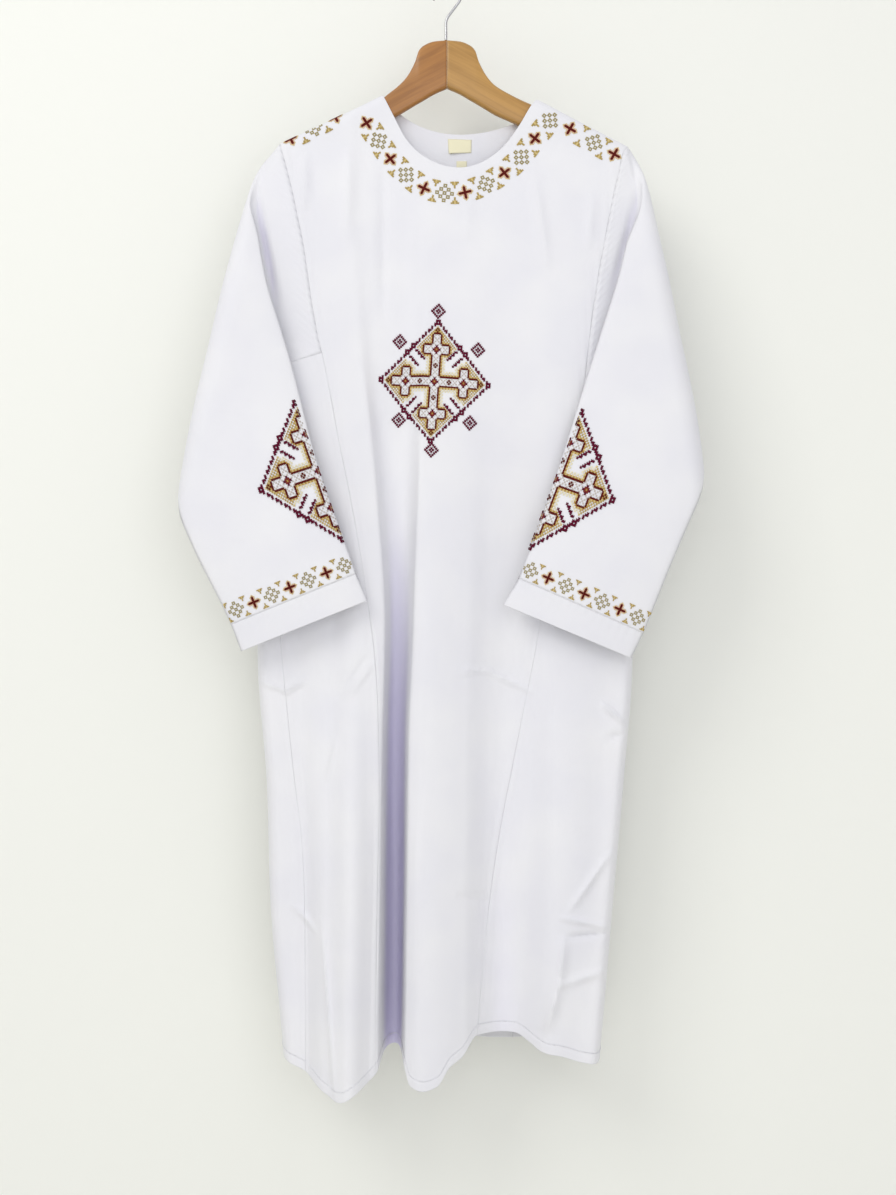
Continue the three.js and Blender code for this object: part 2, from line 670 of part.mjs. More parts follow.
// Hook: stem, slant and round top, one wire
function hook() {
  const centre = new THREE.Vector3(0, 0, -HOOK_INNER_RADIUS);
  const radius = HOOK_INNER_RADIUS + WIRE_RADIUS;
  const path = [
    new THREE.Vector3(HOOK_STEM_X, 0, -73.7),
    new THREE.Vector3(HOOK_STEM_X, 0, HOOK_BEND_Z - 4),
    new THREE.Vector3(HOOK_STEM_X + 0.8, 0, HOOK_BEND_Z - 0.5),
    new THREE.Vector3(HOOK_STEM_X + 3.2, 0, HOOK_BEND_Z + 4),
  ];
  for (let angle = -38; angle <= 205; angle += 13.5) {
    const turn = THREE.MathUtils.degToRad(angle);
    path.push(new THREE.Vector3(centre.x + radius * Math.cos(turn), 0, centre.z + radius * Math.sin(turn)));
  }
  const sides = 8;
  const sections = path.map((point, i) => {
    const ahead = path[Math.min(path.length - 1, i + 1)].clone().sub(path[Math.max(0, i - 1)]).normalize();
    const sideways = new THREE.Vector3(0, 1, 0);
    const up = ahead.clone().cross(sideways);
    return Array.from({ length: sides }, (_, k) => {
      const turn = (2 * Math.PI * k) / sides;
      return point.clone()
        .addScaledVector(sideways, WIRE_RADIUS * Math.cos(turn))
        .addScaledVector(up, WIRE_RADIUS * Math.sin(turn));
    });
  });
  return loft(sections);
}

// Labels lie on the inside of the back, under the neck edge
function labelOnBack({ corners, gap, thickness }) {
  const across = 4;
  const down = 3;
  const [topLeft, topRight, bottomRight, bottomLeft] = corners;
  const sections = [];
  for (let i = 0; i <= across; i += 1) {
    const face = [];
    const rear = [];
    for (let j = 0; j <= down; j += 1) {
      const u = i / across;
      const v = j / down;
      const x = mix(mix(topLeft[0], topRight[0], u), mix(bottomLeft[0], bottomRight[0], u), v);
      const z = mix(mix(topLeft[1], topRight[1], u), mix(bottomLeft[1], bottomRight[1], u), v);
      const y = backDepth(x, z) - WALL - gap;
      face.push(new THREE.Vector3(x, y - thickness, z));
      rear.unshift(new THREE.Vector3(x, y, z));
    }
    sections.push([...face, ...rear]);
  }
  return loft(sections);
}
const SIZE_LABEL = {
  corners: [[1, -194], [31, -195.2], [30.6, -210.5], [2.2, -213.5]],
  gap: 0.2,
  thickness: 1,
};
const CARE_TAB = {
  corners: [[12, -222], [25, -222], [25, -236], [12, -236]],
  gap: 0.2,
  thickness: 1,
};

const cotton = new THREE.MeshStandardMaterial({ color: '#ececf2', roughness: 0.85 });
const labelCloth = new THREE.MeshStandardMaterial({ color: '#f2edc0', roughness: 0.8 });
const warmWood = new THREE.MeshStandardMaterial({ color: '#c08040', roughness: 0.5 });
const paleWood = new THREE.MeshStandardMaterial({ color: '#c4985a', roughness: 0.5 });
const steel = new THREE.MeshStandardMaterial({ color: '#b4b4b6', roughness: 0.25, metalness: 1 });

const group = new THREE.Group();
function addNode(name, geometry, material) {
  const mesh = new THREE.Mesh(geometry, material);
  mesh.name = name;
  group.add(mesh);
}

// The largest sheets are split along rows into solids that are simple enough to collide with
const SPLITS = {
  front_panel: rows('part from to', [['shoulders', 0, 5], ['chest', 5, 10], ['skirt', 10, 23]]),
  back_panel: rows('part from to', [['shoulders', 0, 5], ['chest', 5, 10], ['skirt', 10, 23]]),
  sleeve_left: rows('part from to', [['upper', 0, 10], ['lower', 10, 19]]),
  sleeve_right: rows('part from to', [['upper', 0, 10], ['lower', 10, 19]]),
};
Object.entries(sheets).forEach(([name, sheet]) => {
  if (!SPLITS[name]) {
    addNode(name, wall(sheet), cotton);
    return;
  }
  SPLITS[name].forEach(({ part, from, to }) => {
    const stretch = { ...sheet, grid: sheet.grid.slice(from, to + 1) };
    addNode(`${name}_${part}`, wall(stretch), cotton);
  });
});
addNode('size_label', labelOnBack(SIZE_LABEL), labelCloth);
addNode('care_tab', labelOnBack(CARE_TAB), labelCloth);
addNode('hanger_arm_left', hangerArm(-1, 0), warmWood);
addNode('hanger_arm_right', hangerArm(1, ARM_LIFT_RIGHT), paleWood);
addNode('hanger_hook', hook(), steel);

export default group;
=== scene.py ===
import logging
import math
from dataclasses import dataclass, field
from enum import Enum

import bpy
import numpy as np
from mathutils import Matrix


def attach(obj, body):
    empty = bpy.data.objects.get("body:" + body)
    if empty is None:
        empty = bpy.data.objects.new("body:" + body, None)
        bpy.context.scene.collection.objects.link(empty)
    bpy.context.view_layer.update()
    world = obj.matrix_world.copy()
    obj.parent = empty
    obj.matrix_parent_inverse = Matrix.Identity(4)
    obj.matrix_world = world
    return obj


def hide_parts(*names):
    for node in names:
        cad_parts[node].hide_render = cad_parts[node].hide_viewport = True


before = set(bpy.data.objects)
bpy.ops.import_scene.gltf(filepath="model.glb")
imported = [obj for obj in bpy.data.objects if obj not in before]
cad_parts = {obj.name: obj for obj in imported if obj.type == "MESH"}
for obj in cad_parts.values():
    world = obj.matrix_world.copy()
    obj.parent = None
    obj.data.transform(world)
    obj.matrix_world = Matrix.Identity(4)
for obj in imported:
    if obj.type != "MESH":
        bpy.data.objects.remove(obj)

LOG = logging.getLogger("tunic")
MM = 0.001
TINY = 1e-9


# Small helpers

def linear(code: str) -> tuple[float, float, float, float]:
    """Turn an sRGB hex colour into linear values.

    Args:
        code: colour such as "#ececf2".

    Returns:
        Linear red, green, blue and alpha 1.
    """
    parts = [int(code[i:i + 2], 16) / 255 for i in (1, 3, 5)]
    return tuple(c / 12.92 if c <= 0.04045 else ((c + 0.055) / 1.055) ** 2.4 for c in parts) + (1.0,)


def clamp01(value: np.ndarray) -> np.ndarray:
    """Limit to 0..1."""
    return np.clip(value, 0.0, 1.0)


def smooth(value: np.ndarray) -> np.ndarray:
    """Ease from 0 to 1."""
    t = clamp01(value)
    return t * t * (3 - 2 * t)


def mix(a: np.ndarray, b: np.ndarray, t: np.ndarray) -> np.ndarray:
    """Blend linearly from a to b."""
    return a + (b - a) * t


def bell(t: np.ndarray, power: float) -> np.ndarray:
    """Bump that is 1 at 0 and reaches 0 smoothly at -1 and 1; a higher power is flatter on top."""
    return np.where(np.abs(t) < 1, (1 - np.minimum(np.abs(t), 1) ** power) ** 2, 0.0)


def rounded(t: np.ndarray) -> np.ndarray:
    """Quarter of an ellipse, from 0 at 0 to 1 at 1."""
    return np.sqrt(np.maximum(0.0, 1 - (1 - clamp01(t)) ** 2))


def unit(vectors: np.ndarray) -> np.ndarray:
    """Directions of length 1."""
    return vectors / np.maximum(np.linalg.norm(vectors, axis=-1, keepdims=True), TINY)


def hermite(start: np.ndarray, end: np.ndarray, leave: np.ndarray, arrive: np.ndarray,
            t: np.ndarray) -> np.ndarray:
    """Cubic from start to end, with its tangents there as changes over the whole span."""
    return (start * (1 + 2 * t) * (1 - t) ** 2 + leave * t * (1 - t) ** 2
            + end * t * t * (3 - 2 * t) + arrive * t * t * (t - 1))


class MonotoneCurve:
    """Monotone cubic through points, flat beyond its ends."""

    def __init__(self, knots: list[float], values: list[float]) -> None:
        """Prepare the tangents.

        Args:
            knots: positions, rising or falling.
            values: value at each position.
        """
        x, y = np.array(knots, float), np.array(values, float)
        if x[0] > x[-1]:
            x, y = x[::-1], y[::-1]
        slope = np.diff(y) / np.diff(x)
        tangent = np.empty_like(x)
        tangent[0], tangent[-1] = slope[0], slope[-1]
        product, total = slope[:-1] * slope[1:], slope[:-1] + slope[1:]
        tangent[1:-1] = np.where(product > 0, 2 * product / np.where(total == 0, 1, total), 0)
        self.x, self.y, self.tangent = x, y, tangent

    def __call__(self, at: np.ndarray) -> np.ndarray:
        """Evaluate at one or many positions."""
        at = np.clip(np.asarray(at, float), self.x[0], self.x[-1])
        i = np.clip(np.searchsorted(self.x, at) - 1, 0, len(self.x) - 2)
        h = self.x[i + 1] - self.x[i]
        return hermite(self.y[i], self.y[i + 1], h * self.tangent[i], h * self.tangent[i + 1],
                       (at - self.x[i]) / h)


def curve_of(table: list[tuple], at: int, value: int) -> MonotoneCurve:
    """Curve of one column of a table against another."""
    return MonotoneCurve([row[at] for row in table], [row[value] for row in table])


def run_lengths(points: np.ndarray) -> np.ndarray:
    """Length along a polyline at each of its points."""
    return np.concatenate([[0.0], np.cumsum(np.linalg.norm(np.diff(points, axis=0), axis=1))])


def along(points: np.ndarray, shares: np.ndarray) -> np.ndarray:
    """Points at given shares of the way along a polyline."""
    length = run_lengths(points)
    at = np.asarray(shares) * length[-1]
    return np.stack([np.interp(at, length, points[:, k]) for k in range(points.shape[1])], axis=1)


def rising_shares(points: list, total: float) -> np.ndarray:
    """Distances as rising shares of a total, each once."""
    return np.unique(np.round(np.array(points) / total, 6))


def steps_of(total: float, step: float, start: tuple = ()) -> np.ndarray:
    """Shares of an edge in even steps, with extra ones near its start.

    Args:
        total: length of the edge.
        step: usual spacing.
        start: extra distances from the start.

    Returns:
        Rising shares from 0 to 1.
    """
    first = start[-1] if start else 0.0
    middle = np.linspace(first, total, max(2, round((total - first) / step) + 1))
    return rising_shares([0.0, *start[:-1], *middle, total], total)


# Body of the tunic

@dataclass(frozen=True)
class Fold:
    """One long fold, given at the body's fold heights.

    Attributes:
        name: which fold it is.
        x: centre line.
        out: how far it stands out.
        left: reach to the left.
        right: reach to the right.
        power: how flat-topped it is.
    """

    name: str
    x: tuple
    out: tuple
    left: tuple
    right: tuple
    power: float

    HEIGHTS = (-300, -480, -640, -800, -950, -1130, -1340)

    def rise(self, x: np.ndarray, z: np.ndarray) -> np.ndarray:
        """Outward distance that the fold adds at a place."""
        middle, out, left, right = (MonotoneCurve(self.HEIGHTS, values)(z)
                                    for values in (self.x, self.out, self.left, self.right))
        offset = x - middle
        return out * bell(offset / np.where(offset < 0, left, right), self.power)


@dataclass(frozen=True)
class Crease:
    """A small crease on the cloth, along a straight line.

    Attributes:
        start: x and z of one end.
        end: x and z of the other.
        rise: height, negative for a groove.
        width: half-width.
        sharp: share of the width that the crest takes; small is sharp.
    """

    start: tuple[float, float]
    end: tuple[float, float]
    rise: float
    width: float
    sharp: float = 0.5

    FADE = 0.7
    ROUND = 0.45
    CREST = 0.28
    REACH = 4

    def lift(self, x: np.ndarray, z: np.ndarray) -> np.ndarray:
        """Outward distance that the crease adds at a place."""
        dx, dz = self.end[0] - self.start[0], self.end[1] - self.start[1]
        length = math.hypot(dx, dz)
        t = ((x - self.start[0]) * dx + (z - self.start[1]) * dz) / length ** 2
        off = ((x - self.start[0]) * dz - (z - self.start[1]) * dx) / length
        fade = np.where((t > 0) & (t < 1), np.sin(math.pi * clamp01(t)) ** self.FADE, 0.0)
        near = np.abs(off) / self.width
        shape = mix(np.exp(-near ** 2 / (2 * self.ROUND ** 2)), np.exp(-near / self.CREST), self.sharp)
        return self.rise * fade * np.where(near < self.REACH, shape, 0.0)


class Side(Enum):
    """Side of the tunic, as seen from the front."""

    LEFT = "left"
    RIGHT = "right"


@dataclass
class Body:
    """Shape of the hanging body: silhouette, depth of the front and back, folds, creases, and the shade painted
    into the deep front fold.

    Attributes:
        side_round: how far in from a silhouette the cloth bends.
        shoulder_round: how far down from the shoulder line it bends.
        armhole_foot: height at which the sides close.
        armhole_rise: how far above that height they are fully open.
        painted_shade_from: depth behind the front at which the shade painted into a fold begins.
        painted_shade_over: further depth at which the painted shade is full.
        painted_shade_edge: how far in from a silhouette the painted shade is full.
        outline: height, x of the left and right silhouette, y of the front and the back.
        ridge_line: x and height of the shoulder line.
    """

    side_round: float = 15.0
    shoulder_round: float = 15.0
    armhole_foot: float = -470.0
    armhole_rise: float = 60.0
    painted_shade_from: float = 20.0
    painted_shade_over: float = 36.0
    painted_shade_edge: float = 40.0
    outline: list = field(default_factory=lambda: [
        (-205, -209, 227, -11, 11), (-300, -210, 224, -17, 13), (-480, -215, 217, -22, 20),
        (-640, -226, 223, -26, 24), (-840, -237, 232, -33, 28), (-1010, -225, 220, -38, 31),
        (-1144, -221, 208, -42, 34), (-1285, -209, 196, -44, 36), (-1350, -203, 190, -45, 37)])
    ridge_line: list = field(default_factory=lambda: [
        (-209, -203.5), (-158, -180), (-108, -156), (-81, -142.5), (0, -105), (60, -124),
        (113, -148), (149, -167), (197, -192), (226, -207)])
    front_folds: tuple = (
        Fold("deep inverted fold", (-77, -72, -66, -60, -64, -66, -69), (-3, -8, -24, -43, -56, -66, -68),
             (44, 34, 22, 17, 16, 16, 15), (56, 44, 32, 20, 18, 18, 18), 4.5),
        Fold("lobe right of it", (-10, -12, -18, -24, -27, -28, -30), (0, 2, 8, 16, 22, 27, 29),
             (46, 46, 46, 44, 42, 42, 42), (70, 70, 72, 76, 78, 78, 76), 2),
        Fold("trough by the right seam", (80, 80, 78, 74, 72, 70, 70), (0, -2, -5, -10, -18, -25, -31),
             (50, 50, 50, 50, 50, 50, 50), (60, 60, 60, 60, 60, 62, 62), 2),
        Fold("edge left of the deep fold", (-100, -100, -98, -96, -99, -99, -100), (0, 1, 4, 10, 17, 24, 27),
             (50, 50, 50, 46, 46, 46, 46), (30, 30, 32, 36, 36, 36, 36), 2.6),
        Fold("ridge of the left gore", (-150, -150, -148, -142, -138, -134, -135), (0, 0, 1, 4, 12, 22, 28),
             (40, 40, 42, 46, 44, 40, 38), (50, 50, 50, 50, 48, 46, 44), 3),
        Fold("ridge of the right gore", (150, 150, 152, 150, 146, 138, 120), (0, 1, 4, 6, 9, 10, 6),
             (46, 46, 46, 46, 44, 40, 40), (50, 50, 52, 54, 52, 50, 50), 2),
    )
    back_folds: tuple = (
        Fold("left back fold", (-120, -120, -118, -116, -114, -112, -110), (0, 1, 3, 5, 8, 10, 11),
             (50,) * 7, (44,) * 7, 2),
        Fold("middle back fold", (10, 10, 8, 6, 4, 2, 0), (0, 1, 3, 5, 7, 8, 9), (60,) * 7, (60,) * 7, 2),
        Fold("right back fold", (118, 118, 120, 122, 124, 124, 124), (0, 1, 3, 5, 7, 9, 10),
             (44,) * 7, (50,) * 7, 2),
    )
    creases: tuple = (
        Crease((203.6, -1081), (146.3, -1159), 6.1, 7),
        Crease((134.8, -1161.6), (198.8, -1176), 5.3, 6),
        Crease((142.7, -1186), (200, -1184), -5.7, 5),
        Crease((142.7, -1183.5), (136.6, -1250), 8.5, 12),
        Crease((138.6, -1235), (119.5, -1303), 8.5, 12),
        Crease((136.6, -1245.7), (194.5, -1228.6), 4.9, 9),
        Crease((188, -900), (218, -927), 6.5, 7),
        Crease((196, -945), (220, -940), -4.6, 8),
        Crease((3.7, -862.8), (58, -862.8), 3.2, 6),
        Crease((44, -861), (108, -890), 4.2, 7),
        Crease((11, -1133.5), (59.8, -1151.8), -3.6, 13),
        Crease((-232, -873), (-192, -890), 4.9, 6),
        Crease((-203, -889), (-170, -873), 4.9, 6),
        Crease((-87.8, -849.4), (-120.7, -895.8), 3.0, 5),
        Crease((-97, -843), (-135, -900), -4.2, 7),
        Crease((-134, -943.3), (-148, -993), 4.6, 8),
        Crease((-190, -1146), (-158, -1180), 5.3, 7),
        Crease((-152.4, -1159), (-132.9, -1384.7), 6.8, 10, 0.7),
        Crease((-176.5, -214), (-176.5, -290), 4.9, 11),
        Crease((-121.8, -212), (-124, -330), 4.2, 13),
        Crease((-79.6, -228), (-79, -430), -4.6, 12),
        Crease((108, -240), (125.5, -365), 4.9, 13),
        Crease((182, -262), (176, -340), 3.4, 10),
        Crease((30, -240), (26, -330), 1.9, 16),
    )

    def __post_init__(self) -> None:
        """Turn the tables into curves."""
        self.left, self.right = curve_of(self.outline, 0, 1), curve_of(self.outline, 0, 2)
        self.front_base, self.back_base = curve_of(self.outline, 0, 3), curve_of(self.outline, 0, 4)
        self.ridge = curve_of(self.ridge_line, 0, 1)

    def closing(self, x: np.ndarray, z: np.ndarray) -> np.ndarray:
        """0 at the silhouette and on the shoulder line, 1 inside."""
        side = rounded(np.minimum(x - self.left(z), self.right(z) - x) / self.side_round)
        top = rounded((self.ridge(x) - z) / self.shoulder_round)
        above = z - self.armhole_foot
        side = np.where(above > 0, np.maximum(side, smooth(above / self.armhole_rise)), side)
        return side * top

    def ripple(self, x: np.ndarray, z: np.ndarray) -> np.ndarray:
        """Slight unevenness of cloth that hangs free."""
        grow = 0.35 + 0.65 * smooth((-z - 350) / 600)
        return grow * (
            0.9 * np.sin(x / 23 + 1.3 * np.sin(z / 190)) * np.sin(z / 310 + 0.6)
            + 0.5 * np.sin(x / 11.5 + z / 140 + 1.1) * np.sin(z / 97 + x / 160)
            + 0.35 * np.sin(z / 41 + x / 29) * np.sin(x / 47 - z / 83)
        )

    def front(self, x: np.ndarray, z: np.ndarray) -> np.ndarray:
        """Depth (y) of the front."""
        x, z = np.asarray(x, float), np.asarray(z, float)
        rise = sum(fold.rise(x, z) for fold in self.front_folds)
        rise = rise + sum(crease.lift(x, z) for crease in self.creases) + self.ripple(x, z)
        return (self.front_base(z) - rise) * self.closing(x, z)

    def back(self, x: np.ndarray, z: np.ndarray) -> np.ndarray:
        """Depth (y) of the back."""
        x, z = np.asarray(x, float), np.asarray(z, float)
        rise = sum(fold.rise(x, z) for fold in self.back_folds)
        return (self.back_base(z) + rise - 0.8 * self.ripple(-x, z + 40)) * self.closing(x, z)

    def hollow(self, grid: np.ndarray) -> np.ndarray:
        """Share of painted shade for points of the front: 0 where the front stands out, 1 at the bottom of the
        deep fold.
        """
        x, y, z = grid[..., 0], grid[..., 1], grid[..., 2]
        sunk = y - self.front_base(z)
        inside = clamp01(np.minimum(x - self.left(z), self.right(z) - x) / self.painted_shade_edge)
        return smooth((sunk - self.painted_shade_from) / self.painted_shade_over) * inside

    def on_front(self, p: np.ndarray, z: np.ndarray) -> np.ndarray:
        """Points of the unrolled body: past a silhouette the coordinate runs on over the back."""
        p, z = np.asarray(p, float), np.asarray(z, float)
        left, right = self.left(z), self.right(z)
        x = np.where(p < left, 2 * left - p, np.where(p > right, 2 * right - p, p))
        behind = (p < left) | (p > right)
        return np.stack([x, np.where(behind, self.back(x, z), self.front(x, z)), z], axis=-1)

    def on_back(self, p: np.ndarray, z: np.ndarray) -> np.ndarray:
        """Points of the back, with the coordinate running from right to left."""
        p, z = np.asarray(p, float), np.asarray(z, float)
        return np.stack([-p, self.back(-p, z), z], axis=-1)


@dataclass
class Seams:
    """Seam lines of one side, as [p, z] pairs in the unrolled body."""

    armhole: np.ndarray
    cross: np.ndarray
    princess: np.ndarray
    back_princess: np.ndarray
    side_seam: np.ndarray


@dataclass
class Cut:
    """Where the tunic is cut: seams, hems and neck edges.

    Attributes:
        body: the hanging body.
        step: spacing of points along the armholes and cross seams.
        skirt_step: spacing of rows down the skirt.
        fine_step: their spacing where the cloth is creased.
        creased_bands: middle height and half-width of the creased parts.
        armhole_length: length of an armhole seam, for its steps.
        armhole_starts: extra distances at its upper end.
        cross_length: length of a cross seam, for its steps.
        skirt_top: height at which the skirt begins.
        skirt_length: its length.
        skirt_starts: rows at its upper edge.
        skirt_ends: rows at the hem.
        even_rows: first and last distance of the even rows.
        right_hem_x: x at which the right side seam meets the hem.
        fine_count: points on a line before it is cut into steps.
    """

    body: Body
    step: float = 5.0
    skirt_step: float = 5.6
    fine_step: float = 3.0
    creased_bands: tuple = ((-1190, 125), (-885, 45))
    armhole_length: float = 290.0
    armhole_starts: tuple = (0.6, 1.5, 3, 5, 8, 12)
    cross_length: float = 62.0
    skirt_top: float = -469.0
    skirt_length: int = 880
    skirt_starts: tuple = (0.0, 1.2, 3.0)
    skirt_ends: tuple = (863.0, 866.2, 867.6, 874.0, 877.5, 879.0, 880.0)
    even_rows: tuple = (5, 860)
    right_hem_x: float = 190.0
    fine_count: int = 400
    armhole_table: dict = field(default_factory=lambda: {
        Side.LEFT: [(-203.5, -209), (-225, -203), (-259, -194), (-298, -185.5), (-341, -177), (-397, -169),
                    (-448, -160), (-469, -155)],
        Side.RIGHT: [(-207, 226), (-222, 218), (-246, 213), (-283, 204.5), (-315, 198.5), (-360, 190),
                     (-420, 180.5), (-500, 171)]})
    underarm: dict = field(default_factory=lambda: {Side.LEFT: (-215, -487), Side.RIGHT: (216, -509)})
    princess_table: dict = field(default_factory=lambda: {
        Side.LEFT: [(-469, -155), (-512, -146), (-593, -131), (-660, -117), (-716, -107), (-768, -99),
                    (-847, -88), (-909, -84), (-1009, -82), (-1131, -84), (-1338, -86)],
        Side.RIGHT: [(-500, 171), (-600, 152), (-800, 116), (-874, 102), (-967, 84), (-1080, 63),
                     (-1181, 49), (-1315, 37)]})
    back_table: dict = field(default_factory=lambda: {
        Side.LEFT: [(-469, -155), (-800, -118), (-1333, -88)],
        Side.RIGHT: [(-500, 171), (-800, 118), (-1333, 84)]})
    side_table: list = field(default_factory=lambda: [
        (-487, -215), (-640, -214), (-825, -205), (-884, -199), (-979, -189), (-1084, -177), (-1157, -174),
        (-1345, -173)])
    front_hem_table: list = field(default_factory=lambda: [
        (-205, -1336), (-175, -1350), (-166, -1357), (-148, -1369), (-131, -1376), (-109, -1365),
        (-87, -1348), (-78, -1337), (-62, -1336), (-52, -1343), (-45, -1362), (-29, -1367), (-12, -1362),
        (3, -1341), (18, -1331), (36, -1310), (52, -1311), (85, -1312), (102, -1320), (116, -1328),
        (138, -1332), (166, -1341), (192, -1345)])
    back_hem_table: list = field(default_factory=lambda: [
        (-205, -1336), (-120, -1336), (0, -1334), (80, -1334), (140, -1337), (192, -1345)])
    front_neck: list = field(default_factory=lambda: [
        (-81, -142.5), (-66, -172), (-50, -201), (-29, -222), (-4, -234), (19, -236.5), (41, -231),
        (65, -215), (91, -182), (106, -157), (113, -148)])
    back_neck: list = field(default_factory=lambda: [
        (-81, -142.5), (-52, -168), (-35, -177.5), (-11, -185.5), (15, -188.5), (42, -186.5), (68, -180.5),
        (91, -172), (113, -148)])

    def __post_init__(self) -> None:
        """Work out the hem curves and the shared steps along seams."""
        self.front_hem = curve_of(self.front_hem_table, 0, 1)
        self.back_hem = curve_of(self.back_hem_table, 0, 1)
        self.arm_shares = steps_of(self.armhole_length, self.step, self.armhole_starts)
        self.cross_shares = steps_of(self.cross_length, self.step)
        at = np.linspace(0, self.skirt_length, self.skirt_length + 1)
        creased = np.zeros(len(at), bool)
        for middle, half in self.creased_bands:
            creased |= np.abs(self.skirt_top - at - middle) < half
        density = np.cumsum(np.where(creased, 1 / self.fine_step, 1 / self.skirt_step))
        even = np.interp(np.arange(0, density[-1], 1.0), density, at)
        first, last = self.even_rows
        even = even[(even > first) & (even < last)]
        self.skirt_shares = rising_shares([*self.skirt_starts, *even, *self.skirt_ends], self.skirt_length)

    def down(self, table: list, bottom: float, shares: np.ndarray) -> np.ndarray:
        """Points down a seam given by its x at each height."""
        at = curve_of(table, 0, 1)
        z = np.linspace(table[0][0], bottom, self.fine_count)
        return along(np.stack([at(z), z], axis=1), shares)

    def to_hem(self, table: list, hem: MonotoneCurve) -> np.ndarray:
        """Points down a seam of the skirt, to where it meets a hem."""
        return self.down(table, float(hem(table[-1][1])), self.skirt_shares)

    def seams(self, side: Side) -> Seams:
        """Seams of one side."""
        armhole_table = self.armhole_table[side]
        armhole = self.down(armhole_table, armhole_table[-1][0], self.arm_shares)
        under = np.array(self.underarm[side], float)
        cross = along(np.array([armhole[-1], under]), self.cross_shares)
        princess = self.to_hem(self.princess_table[side], self.front_hem)
        back = self.to_hem(self.back_table[side], self.back_hem)
        if side is Side.LEFT:
            edge = self.to_hem(self.side_table, self.front_hem)
        else:
            z = np.linspace(under[1], float(self.front_hem(self.right_hem_x)), self.fine_count)
            edge = along(np.stack([self.body.right(z), z], axis=1), self.skirt_shares)
        edge[0] = under
        return Seams(armhole, cross, princess, back, edge)

    def shoulder(self, start: float, end: float, count: int) -> np.ndarray:
        """Points on the shoulder line between two x positions."""
        x = np.linspace(start, end, count)
        return np.stack([x, self.body.ridge(x)], axis=1)

    def neck(self, table: list, count: int) -> np.ndarray:
        """Smooth points along a neck edge."""
        points = np.array(table, float)
        length = run_lengths(points)
        fine = np.linspace(0, length[-1], self.fine_count)
        tangent = np.gradient(points, length, axis=0)
        i = np.clip(np.searchsorted(length, fine) - 1, 0, len(length) - 2)
        h = (length[i + 1] - length[i])[:, None]
        t = ((fine - length[i]) / h[:, 0])[:, None]
        line = hermite(points[i], points[i + 1], h * tangent[i], h * tangent[i + 1], t)
        return along(line, np.linspace(0, 1, count))


# Sheets of cloth

def panel_grid(top: np.ndarray, bottom: np.ndarray, left: np.ndarray, right: np.ndarray, place,
               columns: int, edge_steps: tuple = (1.0, 2.6, 5.0), fine_count: int = 601,
               even_from: float = 0.3) -> np.ndarray:
    """Fill four edges with rows of points on the body, evenly spaced along each row.

    Args:
        top: pairs of the top edge.
        bottom: pairs of the hem.
        left: pairs of the left edge, one per row.
        right: pairs of the right edge, one per row.
        place: turns pairs into points.
        columns: number of even columns.
        edge_steps: distances of extra columns from both side edges.
        fine_count: points on which a row is measured.
        even_from: share of the height from which the points are evenly spaced on the body itself.

    Returns:
        Array of rows, columns and xyz.
    """
    left_run, right_run = run_lengths(left), run_lengths(right)
    v = (left_run / left_run[-1] + right_run / right_run[-1]) / 2
    fine = np.linspace(0, 1, fine_count)
    top_fine, bottom_fine = along(top, fine), along(bottom, fine)
    corner_top = mix(top[0], top[-1], fine[:, None])
    corner_bottom = mix(bottom[0], bottom[-1], fine[:, None])
    vv = v[:, None, None]
    pairs = (
        mix(top_fine[None], bottom_fine[None], vv)
        + mix(left[:, None], right[:, None], fine[None, :, None])
        - mix(corner_top[None], corner_bottom[None], vv)
    )
    solid = place(pairs[..., 0], pairs[..., 1])
    step = np.linalg.norm(np.diff(solid, axis=1), axis=2)
    length = np.concatenate([np.zeros((len(v), 1)), np.cumsum(step, axis=1)], axis=1)
    grid = []
    for row in range(len(v)):
        total = length[row, -1]
        extra = [e for e in edge_steps if e < total / 8]
        first = extra[-1] if extra else 0.0
        wanted = np.concatenate([[0.0], extra[:-1], np.linspace(first, total - first, columns),
                                 [total - e for e in reversed(extra[:-1])], [total]])
        wanted = np.concatenate([wanted, np.full(columns + 2 * len(edge_steps) - len(wanted), total)])
        even = np.interp(wanted, length[row], fine)
        u = mix(wanted / total, even, smooth(v[row] / even_from))
        p = np.interp(u, fine, pairs[row, :, 0])
        z = np.interp(u, fine, pairs[row, :, 1])
        grid.append(place(p, z))
    return np.array(grid)


def grid_normals(grid: np.ndarray, ring: bool, flip: bool) -> np.ndarray:
    """Outward direction at each point of a grid."""
    if ring:
        across = np.roll(grid, -1, axis=1) - np.roll(grid, 1, axis=1)
    else:
        across = np.gradient(grid, axis=1)
    down = np.gradient(grid, axis=0)
    normal = unit(np.cross(down, across))
    return -normal if flip else normal


